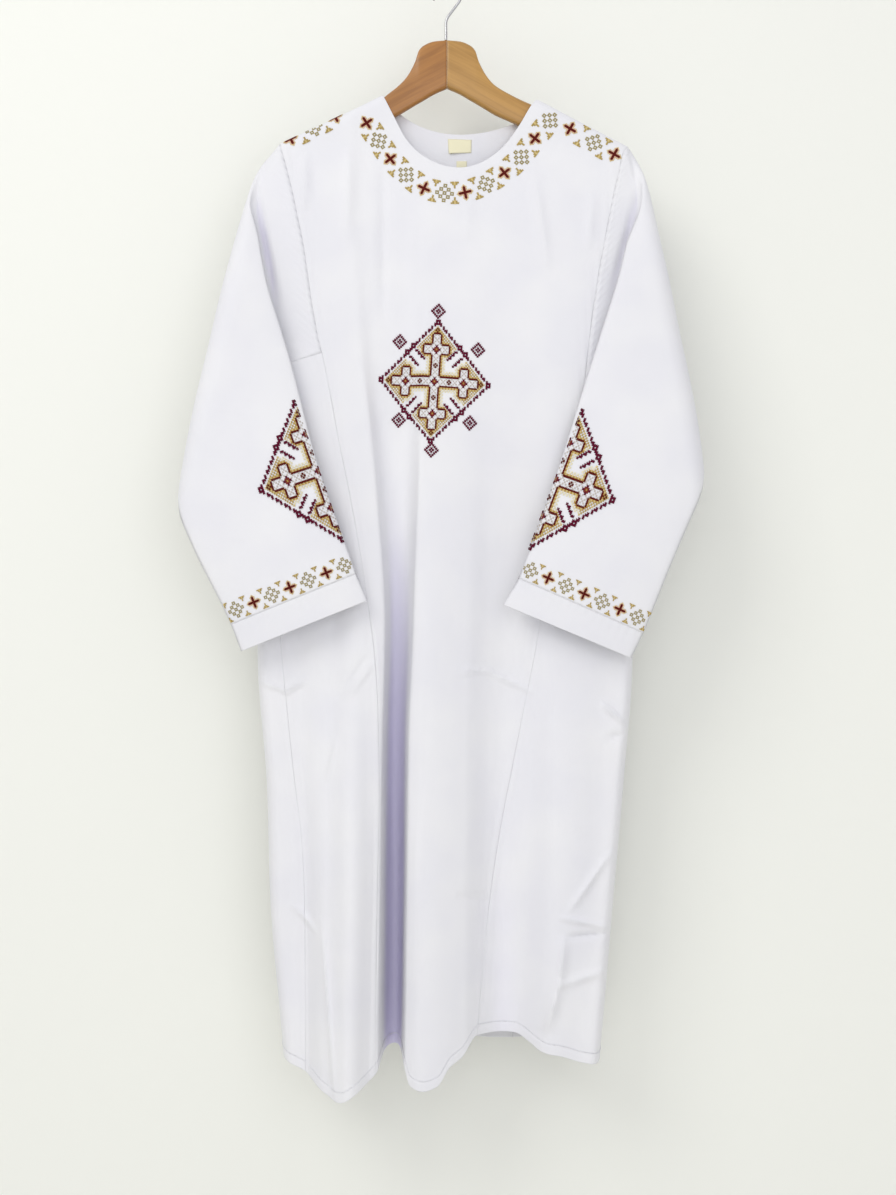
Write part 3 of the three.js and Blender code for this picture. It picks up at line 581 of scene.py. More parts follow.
@dataclass
class ClothSheet:
    """A piece of cloth, as rows of points on its outer face.

    Attributes:
        name: piece name.
        grid: rows, columns and xyz.
        ring: True for a tube, whose last column joins its first.
        flip: True where the rows run the other way round.
        hem: True where the last row is a turned hem.
        seam_sides: which edges are sewn: top, left, right, bottom.
        thickness: of the cloth.
        hem_depth: height of the turned hem.
        hollow: share of shade painted on each point, by how deep in a fold it lies, 0 to 1, or nothing.
    """

    name: str
    grid: np.ndarray
    ring: bool = False
    flip: bool = False
    hem: bool = False
    seam_sides: str = "tlr"
    thickness: float = 0.8
    hem_depth: float = 13.0
    hollow: np.ndarray | None = None

    FAR = 400.0
    SEAM_SINK = 0.06
    SEAM_WIDTH = 1.6
    HEM_RISE = 0.25
    HEM_EDGE = 0.2
    # Slight shade painted evenly on the inner face of every piece.
    INNER_PAINTED_SHADE = 0.03

    def distances(self) -> tuple[np.ndarray, np.ndarray]:
        """Distance of each point from the nearest seam and from the hem."""
        across = np.linalg.norm(np.diff(self.grid, axis=1), axis=2)
        down = np.linalg.norm(np.diff(self.grid, axis=0), axis=2)
        rows, columns = self.grid.shape[:2]
        from_left = np.concatenate([np.zeros((rows, 1)), np.cumsum(across, axis=1)], axis=1)
        from_top = np.concatenate([np.zeros((1, columns)), np.cumsum(down, axis=0)], axis=0)
        seam = np.full((rows, columns), self.FAR)
        if "t" in self.seam_sides:
            seam = np.minimum(seam, from_top)
        if "b" in self.seam_sides:
            seam = np.minimum(seam, from_top[-1:] - from_top)
        if not self.ring and "l" in self.seam_sides:
            seam = np.minimum(seam, from_left)
        if not self.ring and "r" in self.seam_sides:
            seam = np.minimum(seam, from_left[:, -1:] - from_left)
        hem = from_top[-1:] - from_top if self.hem else np.full((rows, columns), self.FAR)
        return seam, hem

    def build(self, material: bpy.types.Material) -> bpy.types.Object:
        """Make the piece as a thin closed wall with its own UV map, edge distances and share of painted shade.

        Args:
            material: cloth material.

        Returns:
            The new object.
        """
        seam, hem = self.distances()
        normal = grid_normals(self.grid, self.ring, self.flip)
        rows, columns = self.grid.shape[:2]
        sunk = self.SEAM_SINK * np.exp(-(seam / self.SEAM_WIDTH) ** 2)
        doubled = self.HEM_RISE * (hem < self.hem_depth - self.HEM_EDGE)
        outer = self.grid + normal * (doubled - sunk)[..., None]
        outer = self.inset(outer)
        inner = outer - normal * self.thickness
        points = np.concatenate([outer.reshape(-1, 3), inner.reshape(-1, 3)])
        faces = self.faces(rows, columns)
        mesh = bpy.data.meshes.new(self.name)
        mesh.from_pydata((points * MM).tolist(), [], faces.tolist())
        mesh.polygons.foreach_set("use_smooth", np.ones(len(mesh.polygons), bool))
        # Share of shade painted on the outer face, none where the sheet has no share.
        hollow = np.zeros((rows, columns)) if self.hollow is None else self.hollow
        # Slight even painted shade on the inner face.
        pale = np.full(hollow.shape, self.INNER_PAINTED_SHADE)
        for label, values, behind in (("seam", seam, seam), ("hem", hem, hem), ("hollow", hollow, pale)):
            attribute = mesh.attributes.new(label, "FLOAT", "POINT")
            attribute.data.foreach_set("value", np.concatenate([values.ravel(), behind.ravel()]))
        self.write_uv(mesh, rows, columns)
        mesh.materials.append(material)
        mesh.update()
        piece = bpy.data.objects.new(self.name, mesh)
        bpy.context.scene.collection.objects.link(piece)
        return piece

    def inset(self, points: np.ndarray, gap: float = 0.02) -> np.ndarray:
        """Pull the sewn edges in slightly, so that neighbours don't overlap."""
        moved = points.copy()
        moved[0] += unit(points[1] - points[0]) * gap
        moved[-1] += unit(points[-2] - points[-1]) * gap
        if not self.ring:
            moved[:, 0] += unit(points[:, 1] - points[:, 0]) * gap
            moved[:, -1] += unit(points[:, -2] - points[:, -1]) * gap
        return moved

    def faces(self, rows: int, columns: int) -> np.ndarray:
        """Quads of the outer and inner face and the rims between them."""
        k = np.arange(columns if self.ring else columns - 1)
        i, j = np.meshgrid(np.arange(rows - 1), k, indexing="ij")
        nxt = (j + 1) % columns
        a, b, c, d = i * columns + j, (i + 1) * columns + j, (i + 1) * columns + nxt, i * columns + nxt
        outer = np.stack([a, b, c, d], axis=-1).reshape(-1, 4)
        count = rows * columns
        inner = outer[:, ::-1] + count
        quads = [outer, inner]
        kn = (k + 1) % columns
        quads.append(np.stack([k, kn, kn + count, k + count], axis=1))
        base = (rows - 1) * columns
        quads.append(np.stack([base + kn, base + k, base + k + count, base + kn + count], axis=1))
        if not self.ring:
            start = np.arange(rows - 1) * columns
            end = start + columns - 1
            quads.append(np.stack([start + columns, start, start + count, start + columns + count], axis=1))
            quads.append(np.stack([end, end + columns, end + columns + count, end + count], axis=1))
        every = np.concatenate(quads)
        return every[:, ::-1] if self.flip else every

    def write_uv(self, mesh: bpy.types.Mesh, rows: int, columns: int) -> None:
        """Lay the cloth flat in a UV map measured in metres along and across the weave."""
        across = np.linalg.norm(np.diff(self.grid, axis=1), axis=2)
        down = np.linalg.norm(np.diff(self.grid, axis=0), axis=2)
        u = np.concatenate([np.zeros((rows, 1)), np.cumsum(across, axis=1)], axis=1)
        u = u - u.mean(axis=1, keepdims=True)
        v = np.concatenate([[0.0], np.cumsum(down.mean(axis=1))])[:, None] + np.zeros((1, columns))
        pairs = np.stack([u, v], axis=-1).reshape(-1, 2) * MM
        pairs = np.concatenate([pairs, pairs])
        layer = mesh.uv_layers.new(name="cloth")
        index = np.empty(len(mesh.loops), np.int32)
        mesh.loops.foreach_get("vertex_index", index)
        layer.data.foreach_set("uv", pairs[index].ravel())

    def area(self) -> float:
        """Area of the outer face in square metres."""
        grid = np.concatenate([self.grid, self.grid[:, :1]], axis=1) if self.ring else self.grid
        a, b, c, d = grid[:-1, :-1], grid[1:, :-1], grid[1:, 1:], grid[:-1, 1:]
        halves = np.cross(b - a, c - a), np.cross(c - a, d - a)
        return float(sum(np.linalg.norm(half, axis=2) for half in halves).sum()) / 2 * MM * MM


@dataclass
class Sleeve:
    """A wide sleeve: a flat tube whose outer part is folded forward over the fold line.

    Attributes:
        side: which sleeve.
        tip: upper end of the fold line, x and z.
        end: lower end of the fold line.
        table: share of the length, then place of the top line and the underarm line, each along and out.
        radius_top: radius of the bend at the shoulder.
        radius: radius of the bend further down.
        radius_run: distance over which it grows.
        half_thickness: half the distance between the two layers.
        depth: y of the tube's middle where it isn't folded.
        lean: how far the folded part leans forward at its foot.
        lean_from: height, downwards, at which the lean begins.
        lean_run: distance over which it grows.
        rim_reach: share of the length over which the armhole's shape fades out.
        arm_knots: shares of the armhole that are spread evenly round the tube.
        cross_knots: the same for the cross seam, as a count.
        row_count: rows down the sleeve.
        sewn_shares: last rows, at the cuff seam.
        cuff_shares: rows of the cuff band.
        creases: on the layer towards the body, along and out.
        crease_depth: depth of a crease at which the shade painted into it is full.
        search_steps: halvings of the search for a place in the flat layout.
        least_share: keeps stitches off the fold edge of the tube.
    """

    side: Side
    tip: tuple[float, float]
    end: tuple[float, float]
    table: list
    radius_top: float = 9.0
    radius: float = 18.0
    radius_run: float = 150.0
    half_thickness: float = 10.0
    depth: float = -3.0
    lean: float = 20.0
    lean_from: float = 430.0
    lean_run: float = 330.0
    rim_reach: float = 0.25
    arm_knots: tuple = (0, 0.012, 0.035, 0.075, 0.15, 0.27, 0.4, 0.55, 0.7, 0.85, 1)
    cross_knots: int = 4
    row_count: int = 104
    sewn_shares: tuple = (0.994, 1.0)
    cuff_shares: tuple = (1.0, 1.004, 1.012, 1.022, 1.032, 1.044, 1.056, 1.064, 1.068, 1.07)
    creases: tuple = ()
    crease_depth: float = 10.0
    search_steps: int = 34
    least_share: float = 0.0015

    def __post_init__(self) -> None:
        """Set up the fold line's frame and the edge curves."""
        run = np.array(self.end, float) - np.array(self.tip, float)
        self.down = run / np.linalg.norm(run)
        outward = np.array([-self.down[1], self.down[0]])
        self.outward = outward if outward[0] * self.tip[0] > 0 else -outward
        self.t_along, self.t_out = curve_of(self.table, 0, 1), curve_of(self.table, 0, 2)
        self.o_along, self.o_out = curve_of(self.table, 0, 3), curve_of(self.table, 0, 4)

    def fold_radius(self, down: np.ndarray) -> np.ndarray:
        """Radius of the bend at a place down the fold line."""
        return mix(self.radius_top, self.radius, smooth(down / self.radius_run))

    def bend(self, down: np.ndarray, out: np.ndarray, behind: np.ndarray) -> np.ndarray:
        """Fold the flat tube forward.

        Args:
            down: distance down the fold line.
            out: distance away from the body.
            behind: offset of the layer from the middle of the tube.

        Returns:
            Points in the shared frame.
        """
        radius = self.fold_radius(down)
        arc = math.pi * radius
        start = -(radius + self.half_thickness)
        angle = clamp01(out / arc) * math.pi
        across = np.where(out > arc, start - (out - arc),
                          np.where(out > 0, start + (radius + behind) * np.sin(angle), start + out))
        depth = np.where(out > arc, self.depth - 2 * radius - behind,
                         np.where(out > 0, self.depth - radius + (radius + behind) * np.cos(angle),
                                  self.depth + behind))
        x = self.tip[0] + self.down[0] * down + self.outward[0] * across
        z = self.tip[1] + self.down[1] * down + self.outward[1] * across
        lean = self.lean * smooth((-z - self.lean_from) / self.lean_run) * clamp01(out / arc)
        return np.stack([x, depth - lean, z], axis=-1)

    def flatten(self, pairs: np.ndarray) -> tuple[np.ndarray, np.ndarray]:
        """Place in the flat layout of points on the part that isn't folded."""
        offset = pairs - np.array(self.tip)
        down = offset @ self.down
        return down, offset @ self.outward + self.fold_radius(down) + self.half_thickness

    @staticmethod
    def openness(q: np.ndarray) -> np.ndarray:
        """0 at both edges of the flat tube, 1 in its middle."""
        return np.sqrt(np.maximum(0, np.sin(math.pi * clamp01(q))))

    def plump(self, s: np.ndarray, q: np.ndarray) -> np.ndarray:
        """Half the distance between the two layers."""
        return self.half_thickness * mix(0.8, 1.0, smooth(s / 0.5)) * self.openness(q)

    def crease_lift(self, down: np.ndarray, out: np.ndarray, sign: float) -> np.ndarray:
        """Creases and a slight unevenness of one layer, away from the tube's middle."""
        lift = 0.5 * np.sin(down / 31 + out / 57 + sign) * np.sin(out / 23 - down / 90)
        lift = lift + 0.6 * np.sin(down / 67 + 1.2 * sign) * np.sin(out / 41 + 0.7)
        if sign < 0:
            lift = lift + sum(crease.lift(down, out) for crease in self.creases)
        return lift

    def rings(self, body: Body, seams: Seams) -> tuple[np.ndarray, np.ndarray, np.ndarray]:
        """Rows of points round the sleeve and round its cuff band.

        Args:
            body: the body, for the armhole's depth.
            seams: this side's seams.

        Returns:
            Grid of the sleeve, grid of the cuff band, and the share of shade painted on each sleeve point, by
            how deep in a crease it lies.
        """
        rim = np.concatenate([seams.armhole, seams.cross[1:]])
        arm = run_lengths(seams.armhole)
        cross = run_lengths(seams.cross)
        half = len(self.arm_knots) - 1 + self.cross_knots
        q = np.concatenate([
            np.interp(arm / arm[-1], self.arm_knots, np.arange(len(self.arm_knots))),
            len(self.arm_knots) - 1 + self.cross_knots * (cross[1:] / cross[-1])]) / half
        rim_down, rim_out = self.flatten(rim)
        depth = {-1: body.front(rim[:, 0], rim[:, 1]), 1: body.back(rim[:, 0], rim[:, 1])}

        def layer(s: float, sign: int) -> np.ndarray:
            share = (1 - min(1.0, s / self.rim_reach)) ** 2
            straight = mix(self.t_along(s), self.o_along(s), q), mix(self.t_out(s), self.o_out(s), q)
            base = mix(self.t_along(0), self.o_along(0), q), mix(self.t_out(0), self.o_out(0), q)
            down = straight[0] + (rim_down - base[0]) * share
            out = straight[1] + (rim_out - base[1]) * share
            lift = self.crease_lift(down, out, sign) * self.openness(q)
            behind = mix(sign * (self.plump(s, q) + lift), depth[sign] - self.depth, share)
            # Painted shade where the layer towards the body sinks into a crease.
            deep = smooth(-lift / self.crease_depth) * (1 - share) * (sign < 0)
            return np.column_stack([self.bend(down, out, behind), deep])

        def ring(s: float) -> np.ndarray:
            front, back = layer(s, -1), layer(s, 1)
            return np.concatenate([front, back[-2:0:-1]])

        none = np.zeros(len(rim))
        first = np.concatenate([
            np.column_stack([rim[:, 0], depth[-1], rim[:, 1], none]),
            np.column_stack([rim[:, 0], depth[1], rim[:, 1], none])[-2:0:-1]])
        shares = np.concatenate([np.linspace(0, 1, self.row_count)[1:-1], self.sewn_shares])
        sleeve = np.array([first, *[ring(s) for s in shares]])
        cuff = np.array([ring(s) for s in self.cuff_shares])
        return sleeve[..., :3], cuff[..., :3], sleeve[..., 3]

    def place(self, down: np.ndarray, out: np.ndarray, sign: np.ndarray) -> np.ndarray:
        """Point of one layer's surface from its place in the flat layout.

        Args:
            down: distance down the fold line.
            out: distance away from the body.
            sign: -1 for the layer towards the body, 1 for the one that shows.

        Returns:
            Points in the shared frame.
        """
        low, high = np.full_like(down, self.rim_reach), np.full_like(down, self.cuff_shares[-1])
        for _ in range(self.search_steps):
            s = (low + high) / 2
            q = (out - self.t_out(s)) / (self.o_out(s) - self.t_out(s))
            too_far = mix(self.t_along(s), self.o_along(s), q) > down
            high, low = np.where(too_far, s, high), np.where(too_far, low, s)
        q = np.clip(q, self.least_share, 1)
        lift = np.where(sign > 0, self.crease_lift(down, out, 1), self.crease_lift(down, out, -1))
        behind = sign * (self.plump(s, q) + lift * self.openness(q))
        return self.bend(down, out, behind)


# Embroidery

class Thread(Enum):
    """Colours of embroidery and sewing thread."""

    MAROON = "#62072c"
    DARK_RED = "#641a12"
    GOLD = "#bf9a52"
    OLD_GOLD = "#bea664"
    PALE_GOLD = "#dcc78c"
    PEACH = "#e6bda0"
    OLIVE = "#aea06e"
    GREY = "#cfc6bd"
    BROWN = "#85382b"
    PALE_YELLOW = "#efe7c6"
    WHITE = "#ededf1"


Chart = dict[tuple[int, int], Thread]
BESIDE = ((-1, 0), (0, -1), (0, 1), (1, 0))


def turned(cells: list[tuple[int, int]]) -> list[tuple[int, int]]:
    """The cells and their three quarter turns."""
    every = []
    for i, j in cells:
        every += [(i, j), (-j, i), (-i, -j), (j, -i)]
    return every


def mirrored(cells: list[tuple[int, int]]) -> list[tuple[int, int]]:
    """The cells, their mirror images and their quarter turns."""
    return turned(cells + [(-i, j) for i, j in cells])


def edge_cells(chart: Chart) -> set[tuple[int, int]]:
    """Empty cells beside a chart's cells."""
    return {(i + di, j + dj) for i, j in chart for di, dj in BESIDE if (i + di, j + dj) not in chart}


def maroon_motif() -> Chart:
    """Dark upright cross with a peach edge and a dotted pale gold border."""
    chart: Chart = {}
    for cell in turned([(0, 0)] + [(i, j) for j in range(1, 8) for i in (-1, 0, 1)] + [(0, 8)]):
        chart[cell] = Thread.DARK_RED
    for thread in (Thread.PEACH, Thread.PALE_GOLD):
        for i, j in edge_cells(chart):
            if thread is Thread.PEACH or (i + j) % 2 == 0:
                chart[(i, j)] = thread
    return chart


def lattice_motif() -> Chart:
    """Diamond of nine small rings that touch at their corners, with bare cloth between them."""
    chart: Chart = {}
    for a in (-3, 0, 3):
        for b in (-3, 0, 3):
            for i, j in turned([(1, 1), (1, 0)]):
                chart[(a + b + i, a - b + j)] = Thread.OLIVE
    return chart


def star_motif() -> Chart:
    """Diamond ring with a dot in it, in place of each small device round the cross."""
    ring = [(i, 4 - i) for i in range(5)] + [(0, 1)]
    return {cell: Thread.MAROON for cell in turned(ring)}


def triangle_chart() -> Chart:
    """Small triangle of three rows that points towards +j, pale in the middle."""
    cells = [(i, 0) for i in (-2, -1, 0, 1, 2)] + [(i, 1) for i in (-1, 0, 1)] + [(0, 2), (0, 3)]
    return {cell: Thread.PALE_GOLD if cell in ((0, 0), (0, 1)) else Thread.OLD_GOLD for cell in cells}


@dataclass(frozen=True)
class CrossChart:
    """Cross with crossbars inside a dashed diamond, worked out cell by cell.

    Attributes:
        arm: half-length of the arms.
        width: half-width of the arms.
        bar_at: distance of the crossbars from the centre.
        bar: half-length of the crossbars.
        diamond: half-size of the diamond.
        gates: rosettes on one side of the diamond.
        tail: steps of the dotted line that runs inwards from a rosette.
        rosette_room: steps round a rosette without dots.
    """

    arm: int = 30
    width: int = 3
    bar_at: int = 20
    bar: int = 9
    diamond: int = 37
    gates: tuple = ((16, 22), (20, 18))
    tail: tuple = (3, 4, 5, 6, 7, 8)
    rosette_room: int = 3

    def inside(self, i: int, j: int) -> bool:
        """True for the cells of the cross itself."""
        i, j = abs(i), abs(j)
        if max(i, j) > self.arm:
            return False
        high, low = max(i, j), min(i, j)
        if low <= self.width:
            return (high, low) != (self.arm, self.width)
        off = abs(high - self.bar_at)
        return off <= self.width and low <= self.bar and (off, low) != (self.width, self.bar)

    def enclosed(self, i: int, j: int) -> bool:
        """True where the four cells beside this one all belong to the cross."""
        return all(self.inside(i + di, j + dj) for di, dj in BESIDE)

    def distance(self, i: int, j: int) -> int:
        """Steps from a cell outside to the nearest cell of the cross, up to 4, or 5 beyond."""
        for reach in range(1, 5):
            for di in range(-reach, reach + 1):
                dj = reach - abs(di)
                if self.inside(i + di, j + dj) or self.inside(i + di, j - dj):
                    return reach
        return 5

    def outline(self) -> Chart:
        """Dark line round the cross, with gold and pale yellow outside it."""
        chart: Chart = {}
        for i in range(-self.diamond, self.diamond + 1):
            for j in range(-self.diamond, self.diamond + 1):
                if abs(i) + abs(j) > self.diamond - 3:
                    continue
                if self.inside(i, j):
                    if not self.enclosed(i, j):
                        chart[(i, j)] = Thread.DARK_RED
                    continue
                steps = self.distance(i, j)
                even = (i + j) % 2 == 0
                beyond = max(abs(i), abs(j)) > self.bar_at
                if steps == 1:
                    chart[(i, j)] = Thread.GOLD if even else Thread.PALE_GOLD
                elif steps in (2, 3) and even:
                    chart[(i, j)] = Thread.OLD_GOLD if beyond else Thread.PALE_YELLOW
                elif steps == 4 and even and beyond:
                    chart[(i, j)] = Thread.PALE_GOLD
        for cell in mirrored([(0, self.arm + 1), (1, self.arm + 2), (0, self.arm + 3)]):
            chart[cell] = Thread.DARK_RED
        return chart

    def florets(self) -> Chart:
        """Small flowers and rings inside the arms, on a grey diamond lattice."""
        chart: Chart = {}
        for i in range(-self.arm + 1, self.arm):
            for j in range(-self.arm + 1, self.arm):
                if self.enclosed(i, j) and ((i + j) % 4 == 2 or (i - j) % 4 == 2):
                    chart[(i, j)] = Thread.GREY
        for centre in (0, self.bar_at):
            for i, j in turned([(0, centre)]) if centre else [(0, 0)]:
                for di, dj in turned([(1, 0), (1, 1)]):
                    chart[(i + di, j + dj)] = Thread.BROWN
                for di, dj in turned([(2, 0)]):
                    chart[(i + di, j + dj)] = Thread.MAROON
                chart[(i, j)] = Thread.GOLD
        for i, j in turned([(0, 10)]):
            for di, dj in turned([(1, 0)]):
                chart[(i + di, j + dj)] = Thread.DARK_RED
        return chart

    @staticmethod
    def rosette(i: int, j: int) -> Chart:
        """Small square ring of stitches."""
        return {(i + di, j + dj): Thread.MAROON for di, dj in turned([(1, 1), (1, 0)])}

    def border(self) -> Chart:
        """Diamond of closely set dots with rosettes, and short dotted lines that run inwards."""
        chart: Chart = {}
        corners = [(0, self.diamond), (self.diamond, 0), (0, -self.diamond), (-self.diamond, 0)]
        gates = [(sx, sz, i, j) for sx in (-1, 1) for sz in (-1, 1) for i, j in self.gates]
        rosettes = corners + [(sx * i, sz * j) for sx, sz, i, j in gates]
        for i in range(-self.diamond, self.diamond + 1):
            for j in range(-self.diamond, self.diamond + 1):
                if abs(i) + abs(j) not in (self.diamond, self.diamond + 1):
                    continue
                if any(abs(i - a) + abs(j - b) < self.rosette_room for a, b in rosettes):
                    continue
                if abs(i) % 2 == 0 or (abs(i) + abs(j) == self.diamond and abs(i) % 4 == 1):
                    chart[(i, j)] = Thread.MAROON
        for i, j in rosettes:
            chart.update(self.rosette(i, j))
        for sx, sz, i, j in gates:
            for step in self.tail:
                chart[(sx * (i - step), sz * (j - step))] = Thread.MAROON
                if step % 2:
                    chart[(sx * (i - step + 1), sz * (j - step))] = Thread.MAROON
        return chart

    def chart(self) -> Chart:
        """The whole chart."""
        return {**self.outline(), **self.florets(), **self.border()}


@dataclass
class StitchRun:
    """Stitches collected for one piece of embroidery, in millimetres."""

    name: str
    points: list = field(default_factory=list)
    normals: list = field(default_factory=list)
    tangents: list = field(default_factory=list)
    cells: list = field(default_factory=list)
    threads: list = field(default_factory=list)

    BREADTH = {Thread.MAROON: 1.22, Thread.DARK_RED: 1.1, Thread.OLIVE: 0.82, Thread.PALE_YELLOW: 0.9,
               Thread.PEACH: 0.85, Thread.OLD_GOLD: 0.88, Thread.GREY: 0.8}
    PROBE = 0.6
    LIFT = 0.12
    LINE_PROBE = 0.5
    LINE_LIFT = 0.05
    LINE_SHARE = 0.9
    THREAD_RADIUS = 0.38

    def collect(self, points: np.ndarray, normals: np.ndarray, tangents: np.ndarray, cells: np.ndarray,
                threads: np.ndarray) -> None:
        """Keep some stitches, one a row."""
        self.points.append(points)
        self.normals.append(normals)
        self.tangents.append(tangents)
        self.cells.append(cells)
        self.threads.append(threads)

    def add(self, chart: Chart, cell: tuple[float, float], place, outward: float) -> None:
        """Lay a chart on a surface.

        Args:
            chart: thread of each cell.
            cell: width and height of a cell.
            place: turns arrays u and v, across and up from the chart's centre, into points.
            outward: 1 or -1, for the side of u x v that faces outwards.
        """
        keys = np.array(list(chart.keys()), float)
        u, v = keys[:, 0] * cell[0], keys[:, 1] * cell[1]
        along_u = place(u + self.PROBE, v) - place(u - self.PROBE, v)
        along_v = place(u, v + self.PROBE) - place(u, v - self.PROBE)
        normal = unit(np.cross(along_u, along_v)) * outward
        order = list(Thread)
        bold = np.array([self.BREADTH.get(thread, 1.0) for thread in chart.values()])
        self.collect(place(u, v) + normal * self.LIFT, normal, unit(along_u),
                     np.array([cell[0], cell[1], min(cell)]) * bold[:, None],
                     np.array([order.index(thread) for thread in chart.values()]))

    def add_line(self, points: np.ndarray, normals: np.ndarray, spacing: float, thread: Thread,
                 width: float = 0.7) -> None:
        """Lay a row of running stitches along a line.

        Args:
            points: polyline.
            normals: outward direction at each of its points.
            spacing: from stitch to stitch.
            thread: colour.
            width: breadth of a stitch.
        """
        length = run_lengths(points)
        at = np.arange(spacing / 2, length[-1], spacing)
        where, normal, ahead = (
            np.stack([np.interp(places, length, values[:, k]) for k in range(3)], axis=1)
            for places, values in ((at, points), (at, normals), (at + self.LINE_PROBE, points)))
        self.collect(where + normal * self.LINE_LIFT, normal, unit(ahead - where),
                     np.tile([spacing * self.LINE_SHARE, width, width], (len(at), 1)),
                     np.full(len(at), list(Thread).index(thread)))

    def build(self, tree: bpy.types.NodeTree) -> bpy.types.Object:
        """Turn the stitches into one plain mesh.

        Args:
            tree: node tree that makes a stitch at each point.

        Returns:
            The new object.
        """
        points = np.concatenate(self.points) * MM
        mesh = bpy.data.meshes.new(self.name + ".points")
        mesh.from_pydata(points.tolist(), [], [])
        values = {"normal": np.concatenate(self.normals), "across": np.concatenate(self.tangents),
                  "cell": np.concatenate(self.cells) * MM}
        for label, array in values.items():
            attribute = mesh.attributes.new(label, "FLOAT_VECTOR", "POINT")
            attribute.data.foreach_set("vector", array.ravel())
        attribute = mesh.attributes.new("thread", "INT", "POINT")
        attribute.data.foreach_set("value", np.concatenate(self.threads))
        piece = bpy.data.objects.new(self.name, mesh)
        bpy.context.scene.collection.objects.link(piece)
        modifier = piece.modifiers.new("stitches", "NODES")
        modifier.node_group = tree
        for item in tree.interface.items_tree:
            if item.item_type == "SOCKET" and item.in_out == "INPUT" and item.name == "Thread radius":
                modifier[item.identifier] = self.THREAD_RADIUS
        graph = bpy.context.evaluated_depsgraph_get()
        plain = bpy.data.meshes.new_from_object(piece.evaluated_get(graph))
        piece.modifiers.clear()
        piece.data = plain
        plain.name = self.name
        bpy.data.meshes.remove(mesh)
        return piece


def add_node(tree: bpy.types.NodeTree, kind: str, **settings) -> bpy.types.Node:
    """Add a node and set its properties and input values.

    Args:
        tree: where to add it.
        kind: node type.
        settings: node properties, or input values where the name starts with "in_".

    Returns:
        The new node.
    """
    node = tree.nodes.new(kind)
    for key, value in settings.items():
        if key.startswith("in_"):
            name = key[3:].replace("_", " ")
            node.inputs[int(name) if name.isdigit() else name].default_value = value
        else:
            setattr(node, key, value)
    return node


def join(tree: bpy.types.NodeTree, source: bpy.types.NodeSocket, target: bpy.types.NodeSocket) -> None:
    """Link two sockets."""
    tree.links.new(source, target)


def stitch_tree(materials: list) -> bpy.types.NodeTree:
    """Build the tree that sets a cross-stitch on each point.

    Args:
        materials: material of each thread, in the order of Thread.

    Returns:
        The node tree.
    """
    tree = bpy.data.node_groups.new("cross stitches", "GeometryNodeTree")
    tree.interface.new_socket("Points", in_out="INPUT", socket_type="NodeSocketGeometry")
    tree.interface.new_socket("Thread radius", in_out="INPUT", socket_type="NodeSocketFloat")
    tree.interface.new_socket("Stitches", in_out="OUTPUT", socket_type="NodeSocketGeometry")
    entry = add_node(tree, "NodeGroupInput")
    leave = add_node(tree, "NodeGroupOutput")
    profile = add_node(tree, "GeometryNodeCurvePrimitiveCircle", in_Resolution=3)
    join(tree, entry.outputs["Thread radius"], profile.inputs["Radius"])
    both = add_node(tree, "GeometryNodeJoinGeometry")
    half = 0.46
    for corner, height in ((-half, 0.34), (half, 0.5)):
        arc = add_node(tree, "GeometryNodeCurveQuadraticBezier", in_Resolution=3,
                       in_Start=(-half, corner, 0.0), in_Middle=(0.0, 0.0, height), in_End=(half, -corner, 0.0))
        tube = add_node(tree, "GeometryNodeCurveToMesh")
        join(tree, arc.outputs["Curve"], tube.inputs["Curve"])
        join(tree, profile.outputs["Curve"], tube.inputs["Profile Curve"])
        join(tree, tube.outputs["Mesh"], both.inputs["Geometry"])
    turn = add_node(tree, "FunctionNodeAxesToRotation", primary_axis="Z", secondary_axis="X")
    labels = {}
    for label in ("normal", "across", "cell"):
        labels[label] = add_node(tree, "GeometryNodeInputNamedAttribute", data_type="FLOAT_VECTOR",
                                 in_Name=label)
    join(tree, labels["normal"].outputs["Attribute"], turn.inputs["Primary Axis"])
    join(tree, labels["across"].outputs["Attribute"], turn.inputs["Secondary Axis"])
    spread = add_node(tree, "GeometryNodeInstanceOnPoints")
    join(tree, entry.outputs["Points"], spread.inputs["Points"])
    join(tree, both.outputs["Geometry"], spread.inputs["Instance"])
    join(tree, turn.outputs["Rotation"], spread.inputs["Rotation"])
    join(tree, labels["cell"].outputs["Attribute"], spread.inputs["Scale"])
    real = add_node(tree, "GeometryNodeRealizeInstances")
    join(tree, spread.outputs["Instances"], real.inputs["Geometry"])
    thread = add_node(tree, "GeometryNodeInputNamedAttribute", data_type="INT", in_Name="thread")
    last = real.outputs["Geometry"]
    for index, material in enumerate(materials):
        same = add_node(tree, "FunctionNodeCompare", data_type="INT", operation="EQUAL")
        join(tree, thread.outputs["Attribute"], same.inputs[2])
        same.inputs[3].default_value = index
        paint = add_node(tree, "GeometryNodeSetMaterial")
        paint.inputs["Material"].default_value = material
        join(tree, last, paint.inputs["Geometry"])
        join(tree, same.outputs["Result"], paint.inputs["Selection"])
        last = paint.outputs["Geometry"]
    join(tree, last, leave.inputs["Stitches"])
    return tree


# Materials

def new_material(name: str, **inputs) -> tuple[bpy.types.Material, bpy.types.NodeTree, bpy.types.Node]:
    """Make a material with only a Principled BSDF and its output.

    Args:
        name: name of the real material.
        inputs: values of the shader, named as for add_node.

    Returns:
        The material, its tree and the shader node.
    """
    material = bpy.data.materials.new(name)
    material.use_nodes = True
    tree = material.node_tree
    tree.nodes.clear()
    shader = add_node(tree, "ShaderNodeBsdfPrincipled", **inputs)
    out = add_node(tree, "ShaderNodeOutputMaterial")
    join(tree, shader.outputs["BSDF"], out.inputs["Surface"])
    return material, tree, shader


def add_texture(tree: bpy.types.NodeTree, kind: str, **settings) -> bpy.types.Node:
    """Add a texture that is laid by the object's own coordinates; settings as for add_node."""
    place = add_node(tree, "ShaderNodeTexCoord")
    texture = add_node(tree, kind, **settings)
    join(tree, place.outputs["Object"], texture.inputs["Vector"])
    return texture


